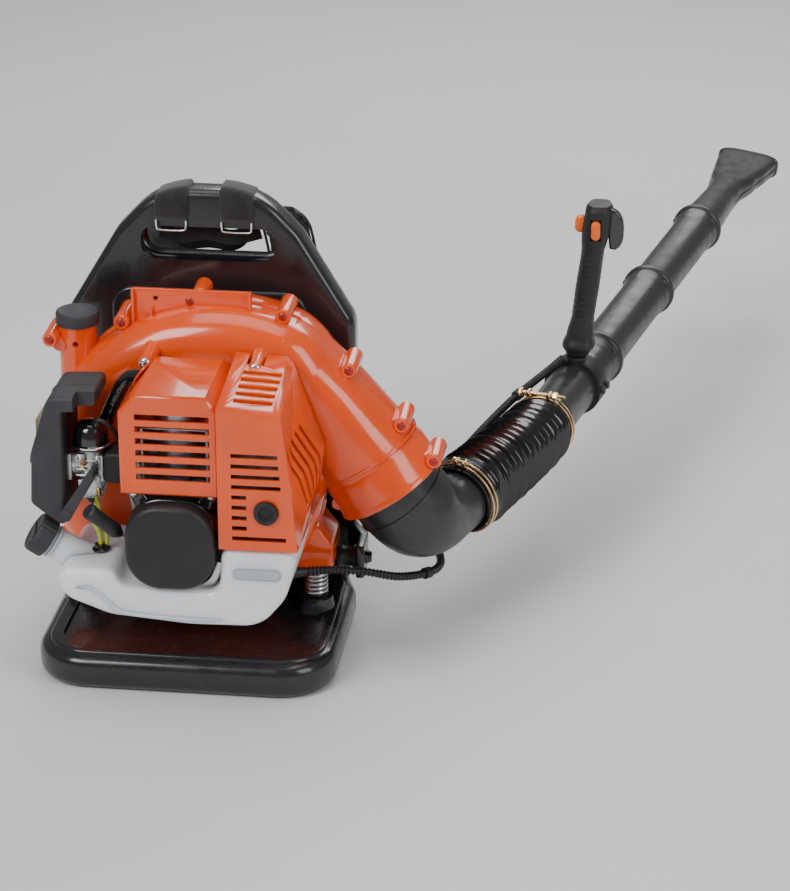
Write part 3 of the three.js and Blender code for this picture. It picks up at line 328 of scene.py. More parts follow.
def sweep(path, size, sides=24, power=2.0, side=None):
    """A round or flattened bar along a path: size(t) gives a radius or (half width, half height)."""
    tangents = [
        (path[min(i + 1, len(path) - 1)] - path[max(i - 1, 0)]).normalized() for i in range(len(path))
    ]
    u = side or frame_of(tangents[0])[0]
    rings = []
    for i, (p, d) in enumerate(zip(path, tangents)):
        u = (side or u) - d * (side or u).dot(d)
        u.normalize()
        s = size(i / (len(path) - 1)) if callable(size) else size
        a, b = s if hasattr(s, "__len__") else (s, s)
        rings.append(ring(p, u, d.cross(u), a, b, sides, power))
    return loft(rings)


def block(low, high):
    """A box between two corners."""
    low, high = V(low), V(high)
    middle, half = (low + high) / 2, (high - low) / 2
    corners = [V((x, y, z)) for x in (-1, 1) for y in (-1, 1) for z in (-1, 1)]
    points = [V((c.x * half.x, c.y * half.y, c.z * half.z)) for c in corners]
    faces = [(0, 1, 3, 2), (4, 6, 7, 5), (0, 4, 5, 1), (2, 3, 7, 6), (0, 2, 6, 4), (1, 5, 7, 3)]
    return [middle + p for p in points], faces


def rounded(corners, arc=8):
    """A closed outline from (x, y, radius) corners, each rounded by a true arc."""
    out = []
    for i, (x, y, radius) in enumerate(corners):
        here = V((x, y))
        back = V(corners[i - 1][:2]) - here
        ahead = V(corners[(i + 1) % len(corners)][:2]) - here
        turn = pi - back.angle(ahead)
        reach = min(radius * tan(turn / 2), 0.49 * min(back.length, ahead.length))
        if reach < 0.05:
            out.append(here)
            continue
        r = reach / tan(turn / 2)
        inward = (back.normalized() + ahead.normalized()).normalized()
        centre = here + inward * (r / cos(turn / 2))
        first, last = back.normalized() * reach + here - centre, ahead.normalized() * reach + here - centre
        total = first.angle_signed(last)
        for k in range(arc + 1):
            a = -total * k / arc
            out.append(
                centre + V((first.x * cos(a) - first.y * sin(a), first.x * sin(a) + first.y * cos(a)))
            )
    return out


def rectangle(x0, y0, x1, y1, r):
    return [(x0, y0, r), (x1, y0, r), (x1, y1, r), (x0, y1, r)]


def mirrored(half):
    return [*half, *[(-x, y, r) for x, y, r in reversed(half)]]


def inset(loop, depth):
    """The outline moved inwards by depth, or outwards if negative, with mitred corners."""
    n = len(loop)
    area = sum(loop[i][0] * loop[(i + 1) % n][1] - loop[(i + 1) % n][0] * loop[i][1] for i in range(n))
    out = []
    for i in range(n):
        here = V(loop[i][:2])
        before = (here - V(loop[i - 1][:2])).normalized()
        after = (V(loop[(i + 1) % n][:2]) - here).normalized()
        one, two = V((-before.y, before.x)), V((-after.y, after.x))
        out.append(here + (one + two) / max(0.5, 1 + one.dot(two)) * copysign(depth, area))
    return out


def plate(outline, low, high, edge=1.0, steps=3, holes=(), flat=False):
    """A plate with rounded edges. The outline lies in XZ and low, high along Y; flat ones lie in XY."""
    work = bmesh.new()
    angles = [pi / 2 * k / steps for k in range(steps + 1)]
    levels = [(low + edge * (1 - sin(a)), edge * (1 - cos(a))) for a in reversed(angles)]
    levels += [(high - edge * (1 - sin(a)), edge * (1 - cos(a))) for a in angles]
    caps = {0: [], len(levels) - 1: []}
    place = (lambda p, h: (p[0], p[1], h)) if flat else (lambda p, h: (p[0], h, p[1]))
    for number, loop in enumerate([outline, *holes]):
        rings = []
        for level, depth in levels:
            inward = inset(loop, depth if number == 0 else -depth)
            rings.append([work.verts.new(place(p, level)) for p in inward])
        n = len(loop)
        for one, two in zip(rings, rings[1:]):
            for i in range(n):
                work.faces.new((one[i], one[(i + 1) % n], two[(i + 1) % n], two[i]))
        for k, edges in caps.items():
            edges += [work.edges.get((rings[k][i], rings[k][(i + 1) % n])) for i in range(n)]
    for edges in caps.values():
        bmesh.ops.triangle_fill(work, edges=edges, use_beauty=True, use_dissolve=False)
    bmesh.ops.recalc_face_normals(work, faces=work.faces)
    work.verts.index_update()
    shape = [v.co.copy() for v in work.verts], [tuple(v.index for v in f.verts) for f in work.faces]
    work.free()
    return shape


def baked(holder):
    """A new mesh with the modifiers of an object applied."""
    bpy.context.view_layer.update()
    return bpy.data.meshes.new_from_object(holder.evaluated_get(bpy.context.evaluated_depsgraph_get()))


def shape_of(holder):
    """The evaluated mesh of an object, in its own units, as a shape."""
    mesh = baked(holder)
    shape = [v.co.copy() for v in mesh.vertices], [tuple(p.vertices) for p in mesh.polygons]
    bpy.data.meshes.remove(mesh)
    return shape


def raw_object(name, shape, scale=1.0):
    mesh = bpy.data.meshes.new(name)
    mesh.from_pydata([p * scale for p in shape[0]], [], shape[1])
    work = bmesh.new()
    work.from_mesh(mesh)
    bmesh.ops.remove_doubles(work, verts=work.verts, dist=0.004 * scale)
    bmesh.ops.recalc_face_normals(work, faces=work.faces)
    work.to_mesh(mesh)
    work.free()
    made = bpy.data.objects.new(name, mesh)
    bpy.context.scene.collection.objects.link(made)
    return made


def bevel(made, width, segments, sharper_than):
    modifier = made.modifiers.new("edge", "BEVEL")
    modifier.width, modifier.segments, modifier.limit_method = width, segments, "ANGLE"
    modifier.angle_limit = radians(sharper_than)


def combined(shape, others, operation="DIFFERENCE", edge=0.0):
    """The boolean of a closed shape with others, optionally with its sharp edges rounded after."""
    body = raw_object("body", shape)
    tools = [raw_object("tool", other) for other in others]
    for tool in tools:
        modifier = body.modifiers.new("cut", "BOOLEAN")
        modifier.operation, modifier.object, modifier.solver = operation, tool, "MANIFOLD"
    if edge:
        bevel(body, edge, 2, 50)
    result = shape_of(body)
    for used in [body, *tools]:
        bpy.data.objects.remove(used)
    return result


def piece(name, shape, slot, nodes=(), sharp=38, edge=0.0, steps=3, body="root", material=None):
    """A finished object: rounded edges if asked, smooth shading, material, body and slot."""
    made = raw_object(name, shape, MM)
    if edge:
        bevel(made, edge * MM, steps, 40)
        made.data = baked(made)
        made.modifiers.clear()
    made.data.shade_smooth()
    made.data.set_sharp_from_angle(angle=radians(sharp))
    made.data.materials.append((material or MATERIALS[slot]).material)
    if nodes:
        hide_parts(*([nodes] if isinstance(nodes, str) else nodes))
    if body:
        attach(made, body)
    return made


def screw(name, at, direction, radius, body, slot="spring_steel", height=None, material=None):
    """A pan-head screw with a cross recess."""
    at, direction = V(at), V(direction).normalized()
    h = height or radius * 0.55
    head = lathe(
        [
            (radius * 0.9, 0), (radius, 0.25), (radius, h * 0.35), (radius * 0.86, h * 0.75),
            (radius * 0.5, h), (0, h * 1.04)
        ],
        at, direction, 32
    )
    u, v = frame_of(direction)
    turn = Matrix((u, v, direction)).transposed()
    slots = [
        block((-a, -b, -h * 0.5), (a, b, h * 0.6))
        for a, b in ((radius * 0.6, radius * 0.13), (radius * 0.13, radius * 0.6))
    ]
    cross = [moved(s, Matrix.Translation(at + direction * h) @ turn.to_4x4()) for s in slots]
    return piece(name, combined(head, cross), slot, body=body, material=material)


def refined(node, slot, body, edge, name, steps=3, sharp=38):
    """The CAD solid of a node with its flat faces joined and its edges rounded."""
    source = bpy.data.objects[node].data
    work = bmesh.new()
    work.from_mesh(source)
    bmesh.ops.remove_doubles(work, verts=work.verts, dist=0.00002)
    bmesh.ops.dissolve_limit(work, angle_limit=radians(1.5), verts=work.verts, edges=work.edges)
    work.verts.index_update()
    shape = [v.co / MM for v in work.verts], [tuple(v.index for v in f.verts) for f in work.faces]
    work.free()
    return piece(name, shape, slot, (node,), sharp, edge, steps, body)


# ---- places that several pieces share -----------------------------------------------------------
OUT_DIR = V((0.547, 0, -0.837)).normalized()
OUTLET = V((217, 2.5, 195))
TUBE_START, TUBE_DIR = V((370, 270, 170)), V((0.23, 0.9726, 0.0332)).normalized()
TUBE_SIDE = -UP.cross(TUBE_DIR).normalized()
TUBE_UP = TUBE_SIDE.cross(TUBE_DIR).normalized()
ELBOW_END, ELBOW_DIR = V((285, 70, 150)), V((0.42, 0.9, 0.15)).normalized()


def turned_cutter(a, b, radius, sides=24):
    a, b = V(a), V(b)
    return lathe([(radius, 0), (radius, (b - a).length)], a, b - a, sides)


# ---- backpack frame --------------------------------------------------------------------------
ARCH, ARCH_START = 110, 11.3


def arch_drop(x):
    """How far the top bar's arch has dropped at x from its highest point."""
    reach = max(0, abs(x) - ARCH_START)
    return ARCH - sqrt(ARCH ** 2 - reach ** 2)


def backpack_frame():
    panel = rounded(mirrored([(150, 8, 0), (165, 90, 30), (165, 358, 34), (104, 459, 60), (58, 507, ARCH)]))
    hole = rounded(rectangle(-85, 417, 85, 474, 25))
    foot = rounded(mirrored([(168, -160, 62), (168, 62, 40), (150, 114.6, 16)]), 14)
    body = combined(plate(panel, 77, 115, 9, 4, [hole]), [plate(foot, 0, 40, 13, 4, flat=True)], "UNION")
    rims = [
        plate(inset(panel, -1.2), 94, 97, 0.9, 2, [inset(panel, 6)]),
        plate(inset(foot, 12), 33, 43, 3, 3, [inset(foot, 24)], flat=True),
        plate(
            rounded(rectangle(-112, 120, 112, 392, 26)), 74, 86, 3.5, 3,
            [rounded(rectangle(-98, 134, 98, 378, 18))]
        )
    ]
    seats = [
        lathe([(24, 0), (23, 4), (20, 12), (19, 19.4), (17.5, 20), (9, 20)], (x, 0, 36), UP)
        for x in (-140, 130)
    ]
    wing = plate(
        rounded([(174, 8, 4), (184, 8, 4), (184, 50, 10), (160, 92, 5), (150, 88, 5), (174, 45, 8)]), 74,
        114, 2, 3, flat=True
    )
    stub = rod((183, 26, 94), (191, 26, 94), 9, 6)
    ribs = [block((x - 2, 0, 38), (x + 2, 76, 43)) for x in (-95, -50, 50, 95)]
    piece("frame_shell", merge(body, rims, seats, wing, stub, ribs), "frame_plastic", "backpack_frame")


backpack_frame()


def bubbled(shape, cap, voxel=5):
    """A padded shape swollen by a cloth simulation, no point moving more than cap."""
    made = raw_object("pad", shape, MM)
    remesh = made.modifiers.new("remesh", "REMESH")
    remesh.mode, remesh.voxel_size = "VOXEL", voxel * MM
    made.data = baked(made)
    made.modifiers.clear()
    rest = [v.co.copy() for v in made.data.vertices]
    settings = made.modifiers.new("cloth", "CLOTH").settings
    settings.use_pressure, settings.uniform_pressure_force = True, 4
    settings.effector_weights.gravity = 0
    made.modifiers["cloth"].point_cache.frame_end = 20
    for step in range(1, 21):
        bpy.context.scene.frame_set(step)
    swollen = made.evaluated_get(bpy.context.evaluated_depsgraph_get()).to_mesh()
    now = [v.co.copy() for v in swollen.vertices]
    made.modifiers.clear()
    for vertex, old, new in zip(made.data.vertices, rest, now):
        move = new - old
        vertex.co = old + move * min(1, cap * MM / max(move.length, 1e-9))
    bpy.context.scene.frame_set(1)
    made.modifiers.new("finer", "SUBSURF").levels = 1
    result = shape_of(made)
    bpy.data.objects.remove(made)
    return [p / MM for p in result[0]], result[1]


def back_pad():
    outline = rounded(rectangle(-113, 112, 113, 393, 40), 12)
    points, faces = bubbled(plate(outline, 117, 132, 6, 3), 6)
    pressed = []
    for p in points:
        depth = sum(5 * exp(-((p.z - z) / 4.5) ** 2) for z in (182, 252, 322)) if p.y > 124 else 0
        edge = min(113 - abs(p.x), p.z - 112, 393 - p.z)
        depth += 4 * exp(-((edge - 14) / 3.5) ** 2) if p.y > 122 else 0
        pressed.append(V((p.x, max(min(p.y - depth, 141), 115.5), p.z)))
    pad = piece("back_cushion", (pressed, faces), "pad_fabric", "back_pad", 80)
    loop = [V((p[0], 124, p[1])) for p in inset(outline, -1)]
    piece("back_piping", piping(loop, 2.4), "webbing")


def piping(loop, radius, sides=10):
    """A closed round cord along a loop of points."""
    n = len(loop)
    rings = []
    for i, p in enumerate(loop):
        d = (loop[(i + 1) % n] - loop[i - 1]).normalized()
        u = V((0, 1, 0)) if abs(d.y) < 0.7 else UP
        u = (u - d * u.dot(d)).normalized()
        rings.append(ring(p, u, d.cross(u), radius, sides=sides))
    return loft(rings, True)


back_pad()


def shoulder_strap(s, side):
    path = curve_points(
        [
            (s * 60, 128, 452), (s * 63, 150, 462), (s * 68, 192, 440), (s * 76, 214, 380),
            (s * 84, 214, 300), (s * 96, 196, 210), (s * 108, 160, 130), (s * 116, 124, 82)
        ],
        60
    )
    width = lambda t: 14 + 14 * min(1, sin(pi * min(1, t * 1.02)) * 1.8)
    across = V((1, 0, 0))
    padded = path[5:44]
    size = lambda t: (width(0.08 + 0.66 * t), 3.6)
    shape = bubbled(sweep(padded, size, 20, 4, across), 4.5, 4)
    pad = piece(f"shoulder_pad_{side}", shape, "pad_fabric", f"shoulder_strap_{side}", 80)
    web = sweep(path, (12.5, 1.1), 16, 6, across)
    tangent = (path[50] - path[48]).normalized()
    lift = tangent.cross(across).normalized()
    hem = [
        sweep([p + across * (e * width(0.08 + 0.66 * i / 38)) for i, p in enumerate(padded)], 1.7, 10)
        for e in (-1, 1)
    ]
    piece(f"shoulder_webbing_{side}", merge(web, hem), "webbing", sharp=60)
    buckle = [
        block((-17, -2.2, -15), (17, 2.2, 15)), block((-15, -4, 3), (15, -2, 8)),
        block((-15, -4, -9), (15, -2, -4))
    ]
    turn = Matrix((across, lift, across.cross(lift))).transposed().to_4x4()
    placed = [moved(b, Matrix.Translation(path[47]) @ turn) for b in buckle]
    piece(f"strap_adjuster_{side}", merge(*placed), "black_plastic", edge=1.2)


def strap_wrap(s, side):
    x = 37 * s - 3
    loops = []
    for grow, half in ((3.2, 19.5), (5.0, 18)):
        middle = [(-half + 1 + (2 * half - 2) * k / 6, 0) for k in range(7)]
        rings = []
        for w, depth in [(-half, 0.6), *middle, (half, 0.6), (half, 2.6), (-half, 2.6)]:
            top = 507 + grow - arch_drop(x + w)
            outline = rounded(rectangle(77 - grow, 474 - grow, 115 + grow, top, 14), 6)
            rings.append([V((x + w, *p)) for p in inset(outline, depth)])
        loops.append(loft(rings, True))
    piece(f"webbing_wrap_{side}", merge(*loops), "webbing", f"strap_wrap_{side}", 60)
    bends = ((-17, 474), (-16.5, 466), (-13, 462), (13, 462), (16.5, 466), (17, 474))
    wire = [(x + u, 71.5, z) for u, z in bends]
    piece(f"wire_buckle_{side}", sweep(curve_points(wire, 40), 1.2, 12), "spring_steel")


def strap_bundle():
    """The folded harness webbing that shows through the hand hole."""
    strips = []
    for k in range(5):
        y = 100 + 4.5 * k
        path = [
            (-58 + 5 * k, y, 452), (-34, y + 2, 446 - 3 * k), (-5, y - 1, 452 - 4 * k),
            (24, y + 2, 446 - 3 * k), (56 - 4 * k, y, 455)
        ]
        strips.append(sweep(curve_points(path, 30), (1.4, 9), 14, 4, V((0, 1, 0))))
    piece("harness_bundle", merge(*strips), "webbing", sharp=60)


for sign, side in ((-1, "left"), (1, "right")):
    shoulder_strap(sign, side)
    strap_wrap(sign, side)
strap_bundle()


# ---- anti-vibration mounts -------------------------------------------------------------------
def coil_spring(name, base, tall, radius, wire, turns, node):
    path = [
        base + V((radius * cos(a), radius * sin(a), wire + (tall - 2 * wire) * a / (2 * pi * turns)))
        for a in (2 * pi * turns * i / (turns * 28) for i in range(turns * 28 + 1))
    ]
    cups = [
        lathe([(14.5, 0), (15, 1.2), (11, 2), (9, 6), (6, 6.5)], base, UP),
        lathe([(6, tall - 6.5), (9, tall - 6), (11, tall - 2), (15, tall - 1.2), (14.5, tall)], base, UP)
    ]
    piece(name, sweep(path, wire, 10), "spring_steel", (node,))
    piece(name + "_cups", merge(*cups), "black_rubber")


coil_spring("coil_right", V((130, 0, 56)), 36, 11.8, 2.1, 6, "mount_spring_right")
coil_spring("coil_left", V((-140, 0, 56)), 36, 11.8, 2.1, 6, "mount_spring_left")
piece(
    "rubber_buffer",
    lathe(
        [
            (14, 0.4), (15, 1), (15, 3), (12.5, 4.5), (11, 8), (11, 14), (12.5, 17.5), (14, 19), (14, 21),
            (13, 21.6)
        ],
        (152, 26, 94), (1, 0, 0)
    ),
    "black_rubber", "side_buffer"
)


# ---- fan case --------------------------------------------------------------------------------
def scroll_radius(turn):
    if turn <= 291:
        return 141 + 0.06 * turn + 0.00075 * turn * turn
    t = (turn - 291) / 69
    return 222 + (141 - 222) * (3 * t * t - 2 * t ** 3)


def scroll_disc(wall, stations=144):
    """The round part of the case: a disc whose radius grows with the turn."""
    rings, corner = [], 36 - wall
    for i in range(stations):
        turn = 360 * i / stations
        angle = radians(-10 - turn)
        out = V((cos(angle), 0, sin(angle)))
        r, front, back = scroll_radius(turn) - wall, -55 + wall, 60 - wall
        arc = [radians(a) for a in range(0, 91, 15)]
        near, far = front + corner, back - corner
        profile = [(0.5, front), *[(r - corner + corner * sin(a), near - corner * cos(a)) for a in arc]]
        profile += [*[(r - corner + corner * cos(a), far + corner * sin(a)) for a in arc], (0.5, back)]
        rings.append([CRANK + out * q + OUT * y for q, y in profile])
    n = len(rings[0])
    points = [p for ring_points in rings for p in ring_points]
    faces = []
    for k in range(stations):
        a, b = k * n, ((k + 1) % stations) * n
        faces += [(a + i, a + i + 1, b + i + 1, b + i) for i in range(n - 1)]
    faces += [
        tuple(k * n for k in range(stations)), tuple(k * n + n - 1 for k in reversed(range(stations)))
    ]
    return points, faces


def case_duct(wall, extra):
    across = V((0.74, 0, 0.673))
    side = V((0.837, 0, 0.547))
    stops = [
        (75, 356, 52, 56.6, 3.1), (106, 323, 56, 57.6, 3.1), (138, 291, 57, 58.5, 2.9),
        (172, 254, 58, 60.5, 2.4), (OUTLET.x - 36 * OUT_DIR.x, OUTLET.z - 36 * OUT_DIR.z, 60.5, 60.5, 2)
    ]
    centres = curve_points([(x, 0, z) for x, z, *_ in stops], 33)
    rings = []
    for i, c in enumerate(centres):
        t = 4 * i / 32
        k, f = min(3, int(t)), t - min(3, int(t))
        w, h, power = (stops[k][j] + (stops[k + 1][j] - stops[k][j]) * f for j in (2, 3, 4))
        lean = across.lerp(side, i / 32).normalized()
        rings.append(ring(V((c.x, 2.5, c.z)), lean, OUT, w - wall, h - wall, 64, power))
    last = rings[-1]
    rings.append([p + OUT_DIR * extra for p in last])
    return loft(rings)


def fan_case():
    outer = combined(scroll_disc(0), [case_duct(0, 4)], "UNION")
    inner = combined(scroll_disc(3), [case_duct(3, 12)], "UNION")
    inlet = turned_cutter((2, 40, 199), (2, 80, 199), 66, 64)
    shell = combined(outer, [inner, inlet])
    collar = lathe(
        [
            (60.2, -44), (61, -40), (63, -35), (63, -9), (63.8, -5.5), (65, -3.5), (65, -0.8), (64.2, 0),
            (60, 0), (60, -44)
        ],
        OUTLET, OUT_DIR, 72
    )
    ridge = lathe([(60, -50), (62.6, -49), (62.6, -46.5), (60.4, -45)], OUTLET, OUT_DIR, 72)
    cut_front = block((-300, -100, -100), (500, 2.1, 600))
    cut_rear = block((-300, 2.7, -100), (500, 200, 600))
    front = combined(shell, [cut_front], "INTERSECT", 0.7)
    rear = combined(shell, [cut_rear], "INTERSECT", 0.7)
    seam = []
    for i in range(111):
        angle = radians(-10 - 291 * i / 110)
        r = scroll_radius(291 * i / 110)
        seam.append(V((2 + r * cos(angle), 2.4, 199 + r * sin(angle))))
    flange = sweep(seam, lambda t: (2.2, 2.2), 8)
    bosses = []
    for x, z, y in BOSSES:
        lip = [(3.2, 1.6), (4.2, 1.3), (5.4, -0.2), (7.2, -0.2), (8.3, 0.9), (8.7, 4)]
        bosses.append(lathe([*lip, (9.6, 20.4 - y), (8.2, 21.8 - y)], (x, y, z), OUT, 40))
    webs = [
        block((-160, -12, 356), (-148, 12, 370)), block((1, -10, 400), (11, 20, 414)),
        block((-83, -12, 374), (-75, 12, 388))
    ]
    for x, z, start in BOSSES:
        inward = (CRANK - V((x, 0, z))).normalized()
        run = [V((x, y, z)) + inward * 10 for y in range(int(start) + 8, 21, 4)]
        webs.append(sweep(run, (9, 7), 20, 2.6, inward))
    piece("case_front", merge(front, collar, ridge), "orange_shell", "fan_case_front", 40)
    piece("case_rear", merge(rear, rear_inlet()), "orange_shell", "fan_case_rear", 40)
    piece("case_flange", merge(flange, bosses, webs), "orange_shell", sharp=45)
    piece("case_tower", tower(), "orange_shell", sharp=40)
    piece("case_plate", top_plate(), "orange_shell", edge=0.8)
    piece("case_feet", merge(lobe(1), lobe(-1)), "orange_shell")
    seats = [spot for spot in BOSSES if spot[2] < BEHIND_PLATE] + [(-4, 411, -16.7)]
    for i, (x, z, y) in enumerate(seats):
        # The case screws take the dark red of a painted reflection of the orange shell.
        screw(f"case_screw_{i + 1}", (x, y + 1.6, z), -OUT, 5.2, "root", "orange_shell", 2.4, SCREW_PAINTED_REFLECTION)


# Screw bosses round the rim, as (x, z, front end). The top one stands behind the plate.
BEHIND_PLATE = -12
BOSSES = [
    (-160, 363, -28.6), (-79, 387, -28.6), (6, 417, BEHIND_PLATE), (101, 402, -28.6), (173, 342, -28.6),
    (231, 280, -28.6), (267, 239, -28.6), (171, 177, -28.6)
]
# Dark red for the case screws: a painted reflection of the orange shell around them in their recesses, not
# a finish the screws have.
SCREW_PAINTED_REFLECTION = gloss_plastic("screw_painted_reflection", (0.42, 0.018, 0.01), 0.22, 0.5)


def rear_inlet():
    middle = V((2, 57, 199))
    grille = [
        lathe([(41, 0), (44, 0), (44, 3), (41, 3), (41, 0)], middle, OUT, 56),
        lathe([(54, 0), (56.5, 0), (56.5, 3), (54, 3), (54, 0)], middle, OUT, 56),
        lathe([(28, 0), (30, 0), (30, 3), (28, 3), (28, 0)], middle, OUT, 56),
        lathe([(17.6, -1), (18, 0), (18, 2.6), (16, 3.4), (10, 3.6)], middle, OUT, 40)
    ]
    for i in range(6):
        spoke = block((12, -1.4, -1.6), (67, 1.4, 1.6))
        grille.append(turned(spoke, middle + OUT * 1.5, 60 * i))
    grille.append(
        lathe([(65, -0.5), (68.5, 0), (69.5, 3), (68.5, 4), (66, 4), (65, -0.5)], middle, OUT, 72)
    )
    return merge(*grille)


def tower():
    body = lathe([(21.5, 0), (21, 60), (21, 84), (20, 84.4)], (-134, 0, 290), UP, 56)
    return combined(body, [turned_cutter((-133, -30, 356), (-133, -8, 356), 3.4)])


def top_plate():
    panel = plate(
        rounded(rectangle(-68, 372, 64, 424, 3)), -16, -11, 0.8, 2,
        [[V((-42 + 3.6 * cos(a), 413 + 3.6 * sin(a))) for a in (2 * pi * i / 24 for i in range(24))]]
    )
    ribs = [block((x - 1.1, -23, 374), (x + 1.1, -15.5, 402)) for x in (-46, -24, -12, 6, 26, 48)]
    back = block((-62, -12, 378), (58, 1.5, 392))
    edges = [block((x - 1.4, -21, 372), (x + 1.4, -11.5, 424)) for x in (-67, 63)]
    return merge(panel, ribs, back, edges)


def lobe(s):
    points = [(84, 150, 8), (134, 150, 14), (152, 126, 14), (152, 92.35, 8), (104, 92.35, 8)]
    outline = rounded([(x if s > 0 else -x - 10, z, r) for x, z, r in points])
    return plate(outline, -20, 44, 3, 3)


fan_case()
piece(
    "tower_lid",
    lathe(
        [
            (22, 0.4), (24, 1), (24.3, 3), (24.3, 4), (23.9, 4.4), (24.3, 4.8), (24.3, 12.5), (23.6, 14.6),
            (21.5, 15.8), (20.6, 15.4), (8, 15.6), (0, 15.7)
        ],
        (-134, 0, 374), UP, 56
    ),
    "charcoal_plastic", "tower_cap"
)


# ---- engine ----------------------------------------------------------------------------------
PLUG, PLUG_DIR = V((-6, -110, 333)), V((-0.8, 0.25, 0.5)).normalized()
refined("cylinder_cover", "orange_shell", "root", 1.0, "cylinder_shroud", 3, 34)
refined("muffler_cover", "orange_shell", "root", 1.0, "muffler_shroud", 3, 34)
refined("muffler", "muffler_steel", "root", 1.2, "muffler_can", 3, 40)


def cylinder_fins():
    fins = []
    outline = rounded(rectangle(2 - 43, -161, 2 + 43, -79, 9), 6)
    for i in range(6):
        z = 258 + 12 * i
        fins.append(plate(outline, z, z + 2.4, 0.9, 2, flat=True))
        if i < 5:
            fins += [
                rod((2 + x, -119 + y, z), (2 + x, -119 + y, z + 12), 2.6, edge=0.2)
                for x in (-36, 36) for y in (-34, 34)
            ]
    barrel = lathe([(28, 0), (30, 3), (28, 6), (28, 84), (24, 88)], (2, -119, 246), UP)
    flanges = [
        block((-31, -150, 244), (35, -88, 250)), block((-46, -141, 250), (-20, -109, 288)),
        block((20, -135, 254), (56, -103, 284))
    ]
    return merge(fins, barrel, flanges, rod(PLUG - PLUG_DIR * 12, PLUG + PLUG_DIR * 8, 10))


piece("cylinder_fins", cylinder_fins(), "cast_alloy", "cylinder")
for node, slot_name, body in (
    ("crankcase_front", "cast_alloy", "root"), ("crankcase_rear", "cast_alloy", "root"),
    ("piston", "cast_alloy", "piston"), ("spark_plug", "cast_alloy", "root"),
    ("ignition_coil", "black_plastic", "root"), ("intake_block", "black_plastic", "root"),
    ("carburettor", "cast_alloy", "root"), ("throttle_slide", "cast_alloy", "throttle_valve"),
    ("filter_base", "black_plastic", "root"), ("filter_element", "filter_foam", "root"),
    ("flywheel", "shaft_steel", "rotor"), ("crankshaft", "shaft_steel", "rotor"),
    ("starter_pulley", "black_plastic", "rope_pulley")
):
    refined(node, slot_name, body, 0.5, node + "_part", 2, 42)


BLADES = 14


def fan_wheel():
    hub = lathe([(8.5, -34.5), (24, -34.5), (26, 4), (12, 5), (8.5, 5), (8.5, -34.5)], CRANK, OUT, 64)
    shroud = lathe(
        [(24, -34), (60, -31), (124, -29.5), (125, -31), (124, -32.5), (60, -35), (24, -36.5), (24, -34)],
        CRANK, OUT, 96
    )
    blades = []
    for i in range(BLADES):
        path = [
            V((cos(a) * r, 0, sin(a) * r))
            for r, a in ((30 + 94 * t / 10, -0.5 * t / 10) for t in range(11))
        ]
        blade = sweep(path, (1.1, 1), 8, 6, OUT)
        points = [V((p.x, p.y * 26 - 3, p.z)) for p in blade[0]]
        blades.append(turned((points, blade[1]), CRANK, 360 * i / BLADES))
    return merge(hub, shroud, blades)


piece("fan_wheel", fan_wheel(), "black_plastic", "impeller", body="rotor")


def plug_boot():
    along = lambda d: PLUG + PLUG_DIR * d
    route = curve_points([along(20), along(38), (-60, -91, 347), (-76, -92, 320), (-86, -92, 296)], 48)

    def bulge(t):
        if t < 0.05:
            return 9.6
        rib = 0.25 * sin(t * 60) * (0.5 < t < 0.85)
        return 8.3 - 0.5 * t + (0.9 if t > 0.95 else 0) + rib

    lead = curve_points([(-85, -92, 299), (-92, -88, 276), (-87, -74, 258), (-78, -58, 252)], 36)
    piece("plug_boot", sweep(route, bulge, 32), "gloss_black", "plug_lead", 50)
    piece("ignition_lead", sweep(lead, 3.4, 20), "black_rubber")


plug_boot()
piece(
    "plug_notch",
    lathe([(13.5, 0), (15.5, 0.5), (16, 2), (13.5, 2.2), (13.5, 0)], PLUG + PLUG_DIR * 43, PLUG_DIR, 40),
    "orange_shell"
)


# ---- carburettor and intake ------------------------------------------------------------------
CARB = V((-95, -125, 262))
BRASS = metal("brass", (0.75, 0.52, 0.2), 0.25, 0.01)


def carburettor_trim():
    dome = lathe(
        [
            (20, 0.3), (20.6, 1.5), (20.6, 5), (19.4, 6), (19.4, 8), (18.8, 17), (16.5, 23), (12.5, 28),
            (6, 30.8), (0, 31)
        ],
        CARB + UP * 19, UP, 56
    )
    clip = lathe([(20.9, 2.2), (21.6, 2.6), (21.6, 4.4), (20.9, 4.8), (20.9, 2.2)], CARB + UP * 19, UP, 56)
    cable = sweep(
        curve_points(
            [
                CARB + V((4, -6, 44)), CARB + V((9, -14, 55)), CARB + V((22, -16, 52)),
                CARB + V((30, -6, 34)), CARB + V((31, 8, 10))
            ],
            32
        ),
        2.2, 16
    )
    piece("carburettor_dome", dome, "gloss_black", "carburettor_top", 50)
    piece("throttle_inner_cable", cable, "black_rubber")
    piece("dome_spring_clip", clip, "spring_steel")
    fittings = [
        lathe([(4.2, 0), (4.2, 5), (3, 5.5), (3, 11), (2, 12)], CARB + V((2, -15, -8)), -OUT, 6),
        lathe([(2.6, 0), (2.6, 6), (3.2, 7), (2.4, 10)], CARB + V((9, -14, -26)), (0.2, -0.6, -0.7), 20),
        lathe([(3.4, 0), (3.4, 3), (2.2, 3.4), (2.2, 9)], CARB + V((-6, -15, 4)), -OUT, 24)
    ]
    piece("carburettor_jets", merge(*fittings), "clamp_brass", material=BRASS)
    lugs = [
        block((x - 4, -145, z - 4), (x + 4, -139, z + 4)) for x, z in ((-103, 274), (-87, 250), (-103, 244))
    ]
    ribs = [block((-110, -142, z), (-80, -139.5, z + 2.4)) for z in (251, 258, 268)]
    piece("carburettor_bosses", merge(lugs, ribs), "cast_alloy", edge=0.8)
    for i, (x, z) in enumerate(((-84.5, 274), (-84.5, 250), (-103, 274))):
        screw(f"carburettor_screw_{i + 1}", (x, -145, z), -OUT, 3.2, "root")
    bowl = [
        lathe([(11, 0), (12.5, 1), (12.5, 3), (11, 4)], CARB + V((0, 0, -37)), UP, 40),
        block((-108, -139.6, 231), (-82, -110.4, 234.5))
    ]
    piece("carburettor_bowl_ring", merge(*bowl), "cast_alloy", edge=0.6)


